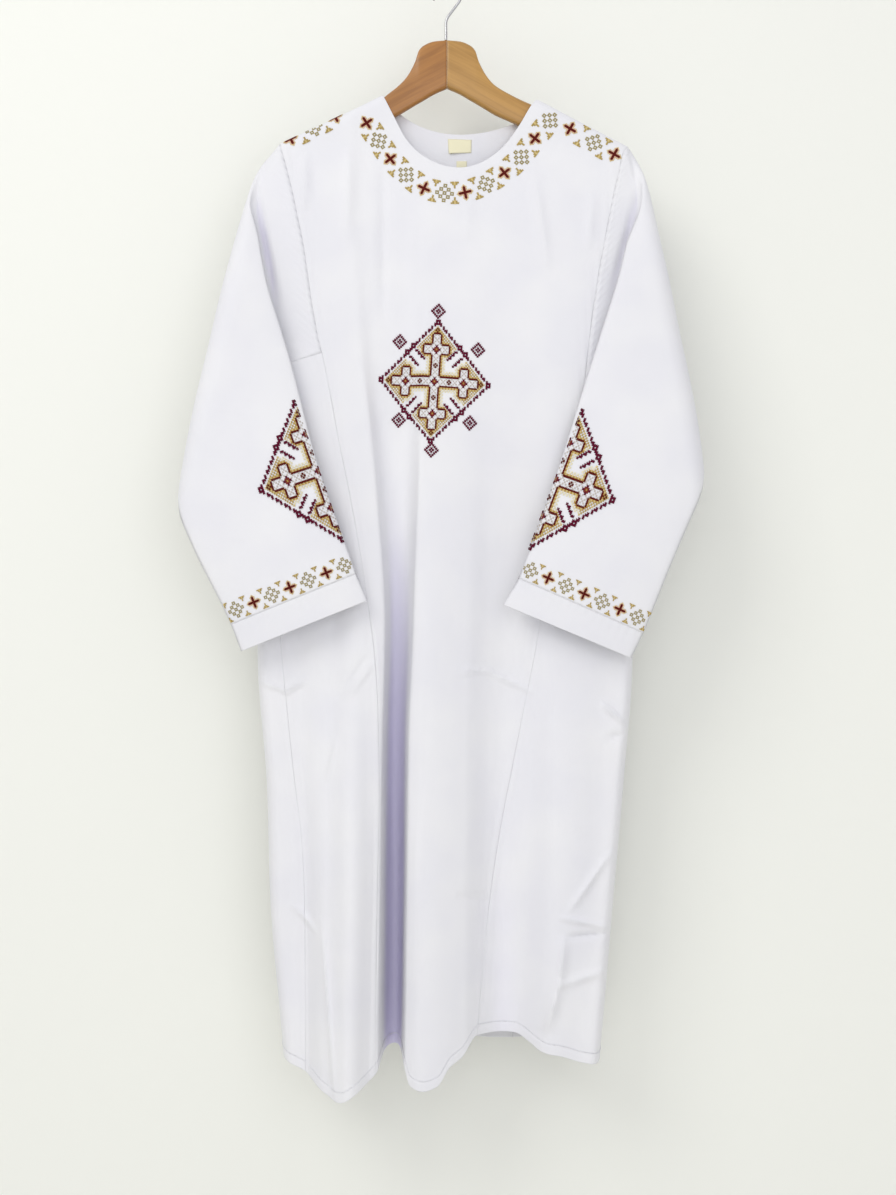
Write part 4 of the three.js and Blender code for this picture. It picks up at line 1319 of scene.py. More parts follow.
def add_bump(tree: bpy.types.NodeTree, shader: bpy.types.Node, height: bpy.types.NodeSocket,
             strength: float, distance: float) -> None:
    """Raise a shader's surface by a height, a distance in metres for each unit."""
    bump = add_node(tree, "ShaderNodeBump", in_Strength=strength, in_Distance=distance)
    join(tree, height, bump.inputs["Height"])
    join(tree, bump.outputs["Normal"], shader.inputs["Normal"])


def add_ramp(tree: bpy.types.NodeTree, factor: bpy.types.NodeSocket, low: tuple[float, str],
             high: tuple[float, str]) -> bpy.types.NodeSocket:
    """Add a colour ramp between two positions and colours."""
    ramp = add_node(tree, "ShaderNodeValToRGB")
    for element, (position, colour) in zip(ramp.color_ramp.elements, (low, high)):
        element.position = position
        element.color = linear(colour)
    join(tree, factor, ramp.inputs["Fac"])
    return ramp.outputs["Color"]


def calculate(tree: bpy.types.NodeTree, operation: str, first, second=None) -> bpy.types.NodeSocket:
    """Add a Math node.

    Args:
        tree: where to add it.
        operation: Math operation.
        first: socket or number.
        second: socket or number, where the operation has one.

    Returns:
        Its output.
    """
    node = add_node(tree, "ShaderNodeMath", operation=operation)
    for index, value in enumerate((first, second)):
        if value is None:
            continue
        if isinstance(value, (int, float)):
            node.inputs[index].default_value = value
        else:
            join(tree, value, node.inputs[index])
    return node.outputs["Value"]


def scaled(tree: bpy.types.NodeTree, value: bpy.types.NodeSocket, gain: float,
           offset: float) -> bpy.types.NodeSocket:
    """A value times a gain, plus an offset."""
    return calculate(tree, "ADD", calculate(tree, "MULTIPLY", value, gain), offset)


@dataclass(frozen=True)
class Poplin:
    """White cotton poplin: fine plain weave, slight crumple, sewn seams, a turned hem and lavender shade
    painted into deep folds.
    """

    name: str = "white cotton poplin"
    colour: str = "#eaeaed"
    worn_colour: str = "#e6e6eb"
    # Lavender painted into deep folds as shade.
    painted_shade_colour: str = "#dedaf0"
    thread_pitch: float = 0.00042
    pucker_pitch: float = 0.011
    ply_width: float = 7.0
    hem_depth: float = 13.0
    hem_seam: float = 11.8

    @staticmethod
    def wave(tree: bpy.types.NodeTree, along_cloth: bpy.types.NodeSocket,
             pitch: float) -> bpy.types.NodeSocket:
        """Sine of a place on the cloth."""
        return calculate(tree, "SINE", calculate(tree, "MULTIPLY", along_cloth, 2 * math.pi / pitch))

    @staticmethod
    def dent(tree: bpy.types.NodeTree, distance: bpy.types.NodeSocket) -> bpy.types.NodeSocket:
        """1 at distance 0, fading out within about 2 mm."""
        square = calculate(tree, "POWER", distance, 2.0)
        return calculate(tree, "EXPONENT", calculate(tree, "MULTIPLY", square, -0.5))

    def build(self) -> bpy.types.Material:
        """Make the material."""
        material, tree, shader = new_material(
            self.name, in_Roughness=0.82, in_Specular_IOR_Level=0.25, in_Sheen_Weight=0.08,
            in_Sheen_Roughness=0.5, in_Subsurface_Weight=0.0)
        flat = add_node(tree, "ShaderNodeUVMap", uv_map="cloth")
        split = add_node(tree, "ShaderNodeSeparateXYZ")
        join(tree, flat.outputs["UV"], split.inputs["Vector"])
        soft = add_texture(tree, "ShaderNodeTexNoise", in_Scale=14.0, in_Detail=2.0, in_Roughness=0.4)
        fine = add_texture(tree, "ShaderNodeTexNoise", in_Scale=70.0, in_Detail=3.0, in_Roughness=0.5)
        hollow, seam, hem = (add_node(tree, "ShaderNodeAttribute", attribute_name=name).outputs["Fac"]
                             for name in ("hollow", "seam", "hem"))
        # Painted shade: blend the base colour towards lavender where the cloth lies deep in a fold.
        tint = add_node(tree, "ShaderNodeMix", data_type="RGBA", in_7=linear(self.painted_shade_colour))
        join(tree, hollow, tint.inputs["Factor"])
        join(tree, add_ramp(tree, soft.outputs["Fac"], (0.35, self.worn_colour), (0.65, self.colour)),
             tint.inputs[6])
        join(tree, tint.outputs[2], shader.inputs["Base Color"])
        near = calculate(tree, "EXPONENT", calculate(tree, "MULTIPLY", seam, -0.12))
        pucker = calculate(tree, "MULTIPLY", self.wave(tree, split.outputs["X"], self.pucker_pitch), near)
        weave = calculate(tree, "MULTIPLY", self.wave(tree, split.outputs["X"], self.thread_pitch),
                          self.wave(tree, split.outputs["Y"], self.thread_pitch))
        terms = (
            (self.dent(tree, seam), -0.12),
            (calculate(tree, "LESS_THAN", seam, self.ply_width), 0.2),
            (calculate(tree, "LESS_THAN", hem, self.hem_depth), 0.5),
            (self.dent(tree, calculate(tree, "SUBTRACT", hem, self.hem_seam)), -0.4),
            (pucker, 0.46),
            (weave, 0.05),
        )
        height = calculate(tree, "MULTIPLY", fine.outputs["Fac"], 0.8)
        for term, gain in terms:
            height = calculate(tree, "ADD", height, calculate(tree, "MULTIPLY", term, gain))
        add_bump(tree, shader, height, 0.55, 0.0011)
        return material


@dataclass(frozen=True)
class EmbroideryThread:
    """Stranded cotton thread of one colour, with a twist."""

    thread: Thread

    def build(self) -> bpy.types.Material:
        """Make the material."""
        material, tree, shader = new_material(
            "embroidery thread " + self.thread.name.lower().replace("_", " "), in_Roughness=0.7,
            in_Specular_IOR_Level=0.2)
        noise = add_texture(tree, "ShaderNodeTexNoise", in_Scale=900.0, in_Detail=1.0)
        tint = add_node(tree, "ShaderNodeHueSaturation", in_Color=linear(self.thread.value))
        join(tree, scaled(tree, noise.outputs["Fac"], 0.5, 0.75), tint.inputs["Value"])
        join(tree, tint.outputs["Color"], shader.inputs["Base Color"])
        twist = add_texture(tree, "ShaderNodeTexWave", in_Scale=1400.0, in_Distortion=1.0,
                            bands_direction="DIAGONAL")
        add_bump(tree, shader, twist.outputs["Fac"], 0.3, 0.0002)
        return material


@dataclass(frozen=True)
class Wood:
    """Lacquered hanger wood with its grain along the arm.

    Attributes:
        name: of the material.
        light: colour of the early wood.
        dark: colour of the late wood.
        slope: direction of the arm below the horizontal, in degrees.
    """

    name: str
    light: str
    dark: str
    slope: float

    def build(self) -> bpy.types.Material:
        """Make the material."""
        material, tree, shader = new_material(self.name, in_Coat_Weight=0.35, in_Coat_Roughness=0.25)
        lay = add_texture(tree, "ShaderNodeMapping", in_Rotation=(0.0, math.radians(self.slope), 0.0))
        stretch = add_node(tree, "ShaderNodeMapping", in_Scale=(1.6, 14.0, 30.0))
        join(tree, lay.outputs["Vector"], stretch.inputs["Vector"])
        grain = add_node(tree, "ShaderNodeTexNoise", in_Scale=9.0, in_Detail=6.0, in_Roughness=0.6,
                         in_Distortion=0.6)
        rings = add_node(tree, "ShaderNodeTexNoise", in_Scale=2.2, in_Detail=2.0, in_Roughness=0.5)
        for texture in (grain, rings):
            join(tree, stretch.outputs["Vector"], texture.inputs["Vector"])
        blend = calculate(tree, "ADD", calculate(tree, "MULTIPLY", grain.outputs["Fac"], 0.6),
                          calculate(tree, "MULTIPLY", rings.outputs["Fac"], 0.4))
        join(tree, add_ramp(tree, blend, (0.38, self.dark), (0.6, self.light)), shader.inputs["Base Color"])
        join(tree, scaled(tree, grain.outputs["Fac"], 0.2, 0.35), shader.inputs["Roughness"])
        add_bump(tree, shader, blend, 0.25, 0.0004)
        return material


@dataclass(frozen=True)
class HookSteel:
    """Bright zinc-plated steel wire."""

    name: str = "zinc-plated steel wire"
    colour: str = "#b9b9bb"

    def build(self) -> bpy.types.Material:
        """Make the material."""
        material, tree, shader = new_material(self.name, in_Base_Color=linear(self.colour), in_Metallic=1.0)
        noise = add_texture(tree, "ShaderNodeTexNoise", in_Scale=400.0, in_Detail=3.0)
        join(tree, scaled(tree, noise.outputs["Fac"], 0.2, 0.16), shader.inputs["Roughness"])
        return material


@dataclass(frozen=True)
class LabelCloth:
    """Pale yellow woven label tape with fine ribs."""

    name: str = "woven label tape"
    colour: str = "#ebe6c6"
    rib: float = 0.0007

    def build(self) -> bpy.types.Material:
        """Make the material."""
        material, tree, shader = new_material(
            self.name, in_Base_Color=linear(self.colour), in_Roughness=0.6, in_Sheen_Weight=0.3)
        ribs = add_texture(tree, "ShaderNodeTexWave", bands_direction="X", in_Distortion=0.4,
                           in_Scale=1 / self.rib / 3)
        add_bump(tree, shader, ribs.outputs["Fac"], 0.3, 0.0002)
        return material


@dataclass(frozen=True)
class Paint:
    """Matt wall or floor paint with a faint roller texture.

    Attributes:
        name: of the material.
        colour: of the paint.
        one_sided: True where the surface is clear from behind, so that the back can be looked at.
    """

    name: str
    colour: str
    one_sided: bool = False

    def build(self) -> bpy.types.Material:
        """Make the material."""
        material, tree, shader = new_material(
            self.name, in_Base_Color=linear(self.colour), in_Roughness=0.95, in_Specular_IOR_Level=0.1)
        noise = add_texture(tree, "ShaderNodeTexNoise", in_Scale=260.0, in_Detail=2.0)
        add_bump(tree, shader, noise.outputs["Fac"], 0.08, 0.0005)
        if self.one_sided:
            facing = add_node(tree, "ShaderNodeNewGeometry")
            clear = add_node(tree, "ShaderNodeBsdfTransparent")
            choose = add_node(tree, "ShaderNodeMixShader")
            join(tree, facing.outputs["Backfacing"], choose.inputs["Fac"])
            join(tree, shader.outputs["BSDF"], choose.inputs[1])
            join(tree, clear.outputs["BSDF"], choose.inputs[2])
            out = next(node for node in tree.nodes if node.type == "OUTPUT_MATERIAL")
            join(tree, choose.outputs["Shader"], out.inputs["Surface"])
        return material


# Hanger, labels, stage

def mesh_object(name: str, points: np.ndarray, faces: list, material: bpy.types.Material,
                is_smooth: bool = True) -> bpy.types.Object:
    """Make an object from points in millimetres.

    Args:
        name: piece name.
        points: N rows of xyz.
        faces: lists of point numbers.
        material: its material.
        is_smooth: shade it smooth.

    Returns:
        The new object.
    """
    mesh = bpy.data.meshes.new(name)
    mesh.from_pydata((np.asarray(points) * MM).tolist(), [], faces)
    mesh.polygons.foreach_set("use_smooth", np.full(len(mesh.polygons), is_smooth))
    mesh.materials.append(material)
    mesh.update()
    piece = bpy.data.objects.new(name, mesh)
    bpy.context.scene.collection.objects.link(piece)
    return piece


def loft_faces(sections: int, size: int) -> list:
    """Faces of a closed loft with capped ends."""
    faces = []
    for i in range(sections - 1):
        for j in range(size):
            a, b = i * size + j, i * size + (j + 1) % size
            faces.append([a, b, b + size, a + size])
    last = (sections - 1) * size
    return faces + [list(range(size - 1, -1, -1)), [last + j for j in range(size)]]


@dataclass
class HangerArm:
    """One wooden half of the hanger: rounded head, concave flank and a long sloping arm.

    Attributes:
        name: piece name.
        sign: -1 for the left arm, 1 for the right one.
        lift: how much higher the outer part lies than in the tables.
        thickness: half the depth of the wood.
        corner: radius of its edges.
        corner_steps: points on each rounded edge.
        lift_from: distance from the middle at which the lift begins.
        lift_run: distance over which it grows.
        head: distance from the middle, height of the upper and of the lower edge.
        shoulder: the same for the part between.
        arm: the same for the arm.
        stations: start, end and count of the even cross-sections.
        tip: distances of the last ones.
    """

    name: str
    sign: int
    lift: float
    thickness: float = 6.0
    corner: float = 5.0
    corner_steps: int = 6
    lift_from: float = 90.0
    lift_run: float = 60.0
    head: tuple = ((0.1, -74, -134), (16, -75.5, -141), (28, -80, -148), (35, -86.5, -152), (40, -101, -155),
                   (50, -119.5, -161), (60, -130.5, -167))
    shoulder: tuple = ()
    arm: tuple = ((150, -180.6, -205.5), (190, -199, -217.5), (202, -205.6, -219.5), (207, -210, -217))
    stations: tuple = ((0.1, 30, 12), (32, 44, 13), (47, 200, 40))
    tip: tuple = (202, 204, 205.5, 206.6, 207)

    def section(self, x: float, top: float, bottom: float) -> np.ndarray:
        """Rounded rectangle across the arm."""
        height = (top - bottom) / 2
        corner = min(self.corner, height * 0.95)
        angles = np.radians(np.linspace(0, 90, self.corner_steps))
        points = []
        for quarter in range(4):
            turn = quarter * math.pi / 2
            cy = (self.thickness - corner) * (1 if quarter in (0, 3) else -1)
            cz = (height - corner) * (1 if quarter in (0, 1) else -1)
            for angle in angles:
                y, z = cy + corner * math.cos(turn + angle), cz + corner * math.sin(turn + angle)
                points.append((self.sign * x, y, (top + bottom) / 2 + z))
        points = np.array(points)
        return points if self.sign > 0 else points[::-1]

    def build(self, material: bpy.types.Material) -> bpy.types.Object:
        """Make the arm.

        Args:
            material: its wood.

        Returns:
            The new object.
        """
        table = [*self.head, *self.shoulder, *self.arm]
        top, bottom = curve_of(table, 0, 1), curve_of(table, 0, 2)
        sections = []
        for x in np.concatenate([*[np.linspace(*run) for run in self.stations], self.tip]):
            raised = self.lift * float(smooth((x - self.lift_from) / self.lift_run))
            sections.append(self.section(x, float(top(x)) + raised, float(bottom(x)) + raised))
        faces = loft_faces(len(sections), 4 * self.corner_steps)
        return mesh_object(self.name, np.concatenate(sections), faces, material)


@dataclass
class Hook:
    """Steel wire hook: stem, slant and round top.

    Attributes:
        wire: radius of the wire.
        inner: inner radius of the round top.
        stem_x: x of the stem.
        bend_z: height at which the stem leans over.
        bottom: lower end of the stem.
        start_angle: where the round top starts, in degrees.
        end_angle: where it ends.
        path_count: points along the wire.
        ring_count: points round it.
        end_sizes: how the wire narrows at its rounded end.
    """

    wire: float = 1.75
    inner: float = 16.0
    stem_x: float = -1.3
    bend_z: float = -47.0
    bottom: float = -73.7
    start_angle: float = -38.0
    end_angle: float = 205.0
    path_count: int = 150
    ring_count: int = 16
    end_sizes: tuple = (0.97, 0.85, 0.5)

    def path(self) -> np.ndarray:
        """Middle of the wire, smoothed."""
        radius = self.inner + self.wire
        corner = [(self.stem_x, self.bottom), (self.stem_x, self.bend_z - 4),
                  (self.stem_x + 0.8, self.bend_z - 0.5), (self.stem_x + 3.2, self.bend_z + 4)]
        turn = np.radians(np.linspace(self.start_angle, self.end_angle, 60))
        arc = np.stack([radius * np.cos(turn), -self.inner + radius * np.sin(turn)], axis=1)
        points = along(np.concatenate([np.array(corner), arc]), np.linspace(0, 1, self.path_count))
        return np.stack([points[:, 0], np.zeros(self.path_count), points[:, 1]], axis=1)

    def build(self, material: bpy.types.Material) -> bpy.types.Object:
        """Make the hook as a tube with a rounded end."""
        path = self.path()
        side = np.array([0.0, 1.0, 0.0])
        up = np.cross(unit(np.gradient(path, axis=0)), side)
        turn = np.linspace(0, 2 * math.pi, self.ring_count, endpoint=False)[None, :, None]
        size = np.full(len(path), self.wire)
        size[-len(self.end_sizes):] = self.wire * np.array(self.end_sizes)
        ring = np.cos(turn) * side + np.sin(turn) * up[:, None]
        points = path[:, None] + ring * size[:, None, None]
        return mesh_object("hook", points.reshape(-1, 3), loft_faces(len(path), self.ring_count), material)


@dataclass
class Label:
    """A small label sewn inside the back of the neck, bare.

    Attributes:
        name: piece name.
        corners: x and z of its upper left, upper right, lower right and lower left corner.
        body: the hanging body, which it lies on.
        cloth: thickness of the cloth behind it.
        lift: its distance from that cloth at the top.
        curl: how much further off its lower edge stands.
        thickness: of the label.
        counts: points across and down.
    """

    name: str
    corners: tuple
    body: Body
    cloth: float = 0.8
    lift: float = 0.5
    curl: float = 2.2
    thickness: float = 0.4
    counts: tuple = (17, 11)

    def build(self, material: bpy.types.Material) -> bpy.types.Object:
        """Make the label as a thin sheet that curls away from the cloth at its lower edge."""
        top_left, top_right, bottom_right, bottom_left = (np.array(c, float) for c in self.corners)
        u, v = np.meshgrid(*[np.linspace(0, 1, count) for count in self.counts])
        rise = self.lift + self.curl * v ** 3 * (0.5 + 0.5 * np.cos(3 * u))
        u, v = u[..., None], v[..., None]
        flat = mix(mix(top_left, top_right, u), mix(bottom_left, bottom_right, u), v)
        x, z = flat[..., 0], flat[..., 1]
        y = self.body.back(x, z) - self.cloth - rise
        front = np.stack([x, y, z], axis=-1)
        rear = front + np.array([0.0, self.thickness, 0.0])
        faces = ClothSheet(self.name, front).faces(*y.shape)
        points = np.concatenate([front.reshape(-1, 3), rear.reshape(-1, 3)])
        return mesh_object(self.name, points, faces.tolist(), material)


@dataclass
class Stage:
    """Wall and floor behind and below, lights and camera.

    Attributes:
        wall_y: depth of the wall, in millimetres like the next three.
        wall_top: its upper edge.
        floor_z: height of the floor.
        reach: half the width of both.
        camera_place: of the camera, in metres.
        focal_px: focal length in photo pixels.
        picture_height: of the photo in pixels.
        sensor: size of the camera's sensor in its own millimetres.
    """

    wall_y: float = 110.0
    wall_top: float = 3500.0
    floor_z: float = -1950.0
    reach: float = 6000.0
    camera_place: tuple = (0.00124, -1.82, -0.772)
    focal_px: float = 1451.6
    picture_height: int = 1195
    sensor: float = 36.0

    def surfaces(self) -> None:
        """Make the wall and the floor."""
        wall_paint = Paint("matt wall paint", "#f0f1eb", one_sided=True).build()
        floor_paint = Paint("pale floor paint", "#ecebe6").build()
        wide, low, high = self.reach, self.floor_z, self.wall_top
        wall = [(-wide, self.wall_y, low), (wide, self.wall_y, low), (wide, self.wall_y, high),
                (-wide, self.wall_y, high)]
        floor = [(-wide, -wide, low), (wide, -wide, low), (wide, wide, low), (-wide, wide, low)]
        mesh_object("wall", wall, [[0, 1, 2, 3]], wall_paint, False)
        mesh_object("floor", floor, [[0, 1, 2, 3]], floor_paint, False)

    def camera(self) -> None:
        """Set the camera at the photo's angle."""
        data = bpy.data.cameras.new("camera")
        data.sensor_width = self.sensor
        data.lens = self.focal_px * self.sensor / self.picture_height
        data.dof.use_dof = False
        camera = bpy.data.objects.new("camera", data)
        camera.location = self.camera_place
        camera.rotation_euler = (math.pi / 2, 0.0, 0.0)
        bpy.context.scene.collection.objects.link(camera)
        bpy.context.scene.camera = camera

    def light(self, name: str, place: tuple, aim: tuple, size: float, power: float, colour: str) -> None:
        """Add one soft rectangular light.

        Args:
            name: of the light.
            place: where it stands, in metres.
            aim: the point that it faces.
            size: of its sides.
            power: in watts.
            colour: of its light.
        """
        data = bpy.data.lights.new(name, "AREA")
        data.shape = "SQUARE"
        data.size = size
        data.energy = power
        data.color = linear(colour)[:3]
        lamp = bpy.data.objects.new(name, data)
        lamp.location = place
        away = np.array(place) - np.array(aim)
        yaw = math.atan2(away[0], -away[1])
        tilt = math.atan2(math.hypot(away[0], away[1]), away[2])
        lamp.rotation_euler = (tilt, 0.0, yaw)
        bpy.context.scene.collection.objects.link(lamp)

    def lights(self) -> None:
        """Set a large soft key from the upper left, a weak fill and a pale surrounding."""
        middle = (0.0, 0.0, -0.7)
        self.light("key", (-1.5, -2.1, 1.2), middle, 1.5, 27.0, "#fffef9")
        self.light("front", (0.4, -2.9, -0.4), middle, 2.2, 22.0, "#fbfbff")
        world = bpy.data.worlds.new("surroundings")
        bpy.context.scene.world = world
        world.use_nodes = True
        shade = world.node_tree.nodes["Background"]
        shade.inputs["Color"].default_value = linear("#f8f8fb")
        shade.inputs["Strength"].default_value = 0.7
        bpy.context.scene.view_settings.view_transform = "Standard"


# The whole tunic

@dataclass
class Tunic:
    """Cuts and hangs the tunic.

    Attributes:
        body: the hanging body.
        columns: even columns of each panel and gore.
        hem_count: points along a hem.
        shoulder_count: points along a shoulder.
        left_corner: x behind and in front of the lower left corner, where the hem goes round.
        right_corner: height of the lower right corner.
    """

    body: Body = field(default_factory=Body)
    columns: dict = field(default_factory=lambda: {
        "front_panel": 118, "back_panel": 60, "gore_front_left": 46, "gore_front_right": 66,
        "gore_back_left": 36, "gore_back_right": 24})
    hem_count: int = 200
    shoulder_count: int = 60
    left_corner: tuple = (-203, -200)
    right_corner: float = -1350.0

    NODES = {
        "front_panel": ("front_panel_shoulders", "front_panel_chest", "front_panel_skirt"),
        "back_panel": ("back_panel_shoulders", "back_panel_chest", "back_panel_skirt"),
        "sleeve_left": ("sleeve_left_upper", "sleeve_left_lower"),
        "sleeve_right": ("sleeve_right_upper", "sleeve_right_lower"),
    }
    FLAT = {
        "front_panel": ((0.62, 1.24), 0.367), "back_panel": ((0.56, 1.21), 0.316),
        "gore_front_left": ((0.17, 0.93), 0.095), "gore_front_right": ((0.23, 0.93), 0.129),
        "gore_back_left": ((0.24, 0.92), 0.159), "gore_back_right": ((0.19, 0.92), 0.104),
        "sleeve_left": ((0.56, 0.52), 0.19), "sleeve_right": ((0.56, 0.52), 0.191),
        "cuff_band_left": ((0.336, 0.036), 0.0115), "cuff_band_right": ((0.336, 0.036), 0.0115),
    }

    def __post_init__(self) -> None:
        """Work out the cut and both sleeves."""
        self.cut = Cut(self.body)
        self.left, self.right = self.cut.seams(Side.LEFT), self.cut.seams(Side.RIGHT)
        self.sleeves = {
            Side.LEFT: Sleeve(Side.LEFT, (-250, -252), (-335, -627), [
                (0, -57, -2, 221, -59), (0.06, -27, 9, 227, -45), (0.146, 17, 19, 260, -34),
                (0.25, 70, 52, 300, -20), (0.5, 200, 130, 385, 20), (0.75, 325, 196, 462, 74),
                (1, 448, 274, 542, 139), (1.07, 477, 294, 571, 158)], creases=(
                    Crease((4, 8), (150, -46), -12.0, 7.0, 0.25),
                    Crease((-25, 2), (5, -1), -4.0, 5.0, 0.3))),
            Side.RIGHT: Sleeve(Side.RIGHT, (250, -241), (322, -604), [
                (0, -36, 9, 255, -57), (0.06, -6, 15, 259, -40), (0.155, 42, 33, 289, -27),
                (0.25, 90, 70, 322, -15), (0.5, 220, 145, 392, 36), (0.75, 345, 214, 478, 97),
                (1, 466, 288, 561, 152), (1.07, 494, 312, 588, 172)], creases=(
                    Crease((14, 8), (150, -50), -12.0, 7.0, 0.25),
                    Crease((-12, -3), (18, -5), -4.0, 5.0, 0.3))),
        }

    def top_edge(self, neck: list, neck_count: int) -> np.ndarray:
        """Shoulder, neck edge and shoulder, from left to right."""
        (outer_left, _), (outer_right, _) = self.body.ridge_line[0], self.body.ridge_line[-1]
        return np.concatenate([
            self.cut.shoulder(outer_left, neck[0][0], self.shoulder_count),
            self.cut.neck(neck, neck_count)[1:],
            self.cut.shoulder(neck[-1][0], outer_right, self.shoulder_count)[1:]])

    def hem_line(self, start: float, end: float, hem: MonotoneCurve) -> np.ndarray:
        """Points along a hem."""
        x = np.linspace(start, end, self.hem_count)
        return np.stack([x, hem(x)], axis=1)

    def around(self, pairs: np.ndarray, side: Side) -> np.ndarray:
        """Carry pairs on the back over to the unrolled front, past a silhouette."""
        edge = self.body.left if side is Side.LEFT else self.body.right
        return np.stack([2 * edge(pairs[:, 1]) - pairs[:, 0], pairs[:, 1]], axis=1)

    def sheets(self) -> list[ClothSheet]:
        """Every piece of cloth."""
        cut, left, right, body = self.cut, self.left, self.right, self.body
        swap = np.array([-1.0, 1.0])
        ends = {name: (getattr(left, name)[-1, 0], getattr(right, name)[-1, 0])
                for name in ("princess", "back_princess", "side_seam")}
        behind, before = self.left_corner
        left_hem = np.concatenate([
            self.around(self.hem_line(ends["back_princess"][0], behind, cut.back_hem), Side.LEFT),
            self.hem_line(before, ends["side_seam"][0], cut.front_hem)])
        corner_x = float(body.right(self.right_corner))
        right_hem = self.around(self.hem_line(corner_x, ends["back_princess"][1], cut.back_hem), Side.RIGHT)
        right_hem[0] = right.side_seam[-1]
        edges = {
            "front_panel": (
                self.top_edge(cut.front_neck, 160), self.hem_line(*ends["princess"], cut.front_hem),
                np.concatenate([left.armhole, left.princess[1:]]),
                np.concatenate([right.armhole, right.princess[1:]])),
            "back_panel": (
                (self.top_edge(cut.back_neck, 120) * swap)[::-1],
                (self.hem_line(*ends["back_princess"], cut.back_hem) * swap)[::-1],
                np.concatenate([right.armhole, right.back_princess[1:]]) * swap,
                np.concatenate([left.armhole, left.back_princess[1:]]) * swap),
            "gore_front_left": (
                left.cross[::-1], self.hem_line(ends["side_seam"][0], ends["princess"][0], cut.front_hem),
                left.side_seam, left.princess),
            "gore_front_right": (
                right.cross, self.hem_line(ends["princess"][1], ends["side_seam"][1], cut.front_hem),
                right.princess, right.side_seam),
            "gore_back_left": (
                self.around(left.cross, Side.LEFT), left_hem,
                self.around(left.back_princess, Side.LEFT), left.side_seam),
            "gore_back_right": (
                self.around(right.cross[::-1], Side.RIGHT), right_hem,
                right.side_seam, self.around(right.back_princess, Side.RIGHT)),
        }
        made = []
        for name, four in edges.items():
            place = body.on_back if name == "back_panel" else body.on_front
            grid = panel_grid(*four, place, self.columns[name])
            # Fronts get shade painted into their deep fold, backs none.
            made.append(ClothSheet(
                name, grid, hem=True, seam_sides="lr" if name.endswith("panel") else "tlr",
                hollow=None if "back" in name else body.hollow(grid)))
        for side, seams, flip in ((Side.LEFT, left, False), (Side.RIGHT, right, True)):
            # The third grid is the shade painted into the sleeve's creases.
            sleeve, cuff, deep = self.sleeves[side].rings(body, seams)
            made.append(ClothSheet(f"sleeve_{side.value}", sleeve, ring=True, flip=flip, seam_sides="tb",
                                   hollow=deep))
            made.append(ClothSheet(f"cuff_band_{side.value}", cuff, ring=True, flip=flip, seam_sides="t"))
        return made


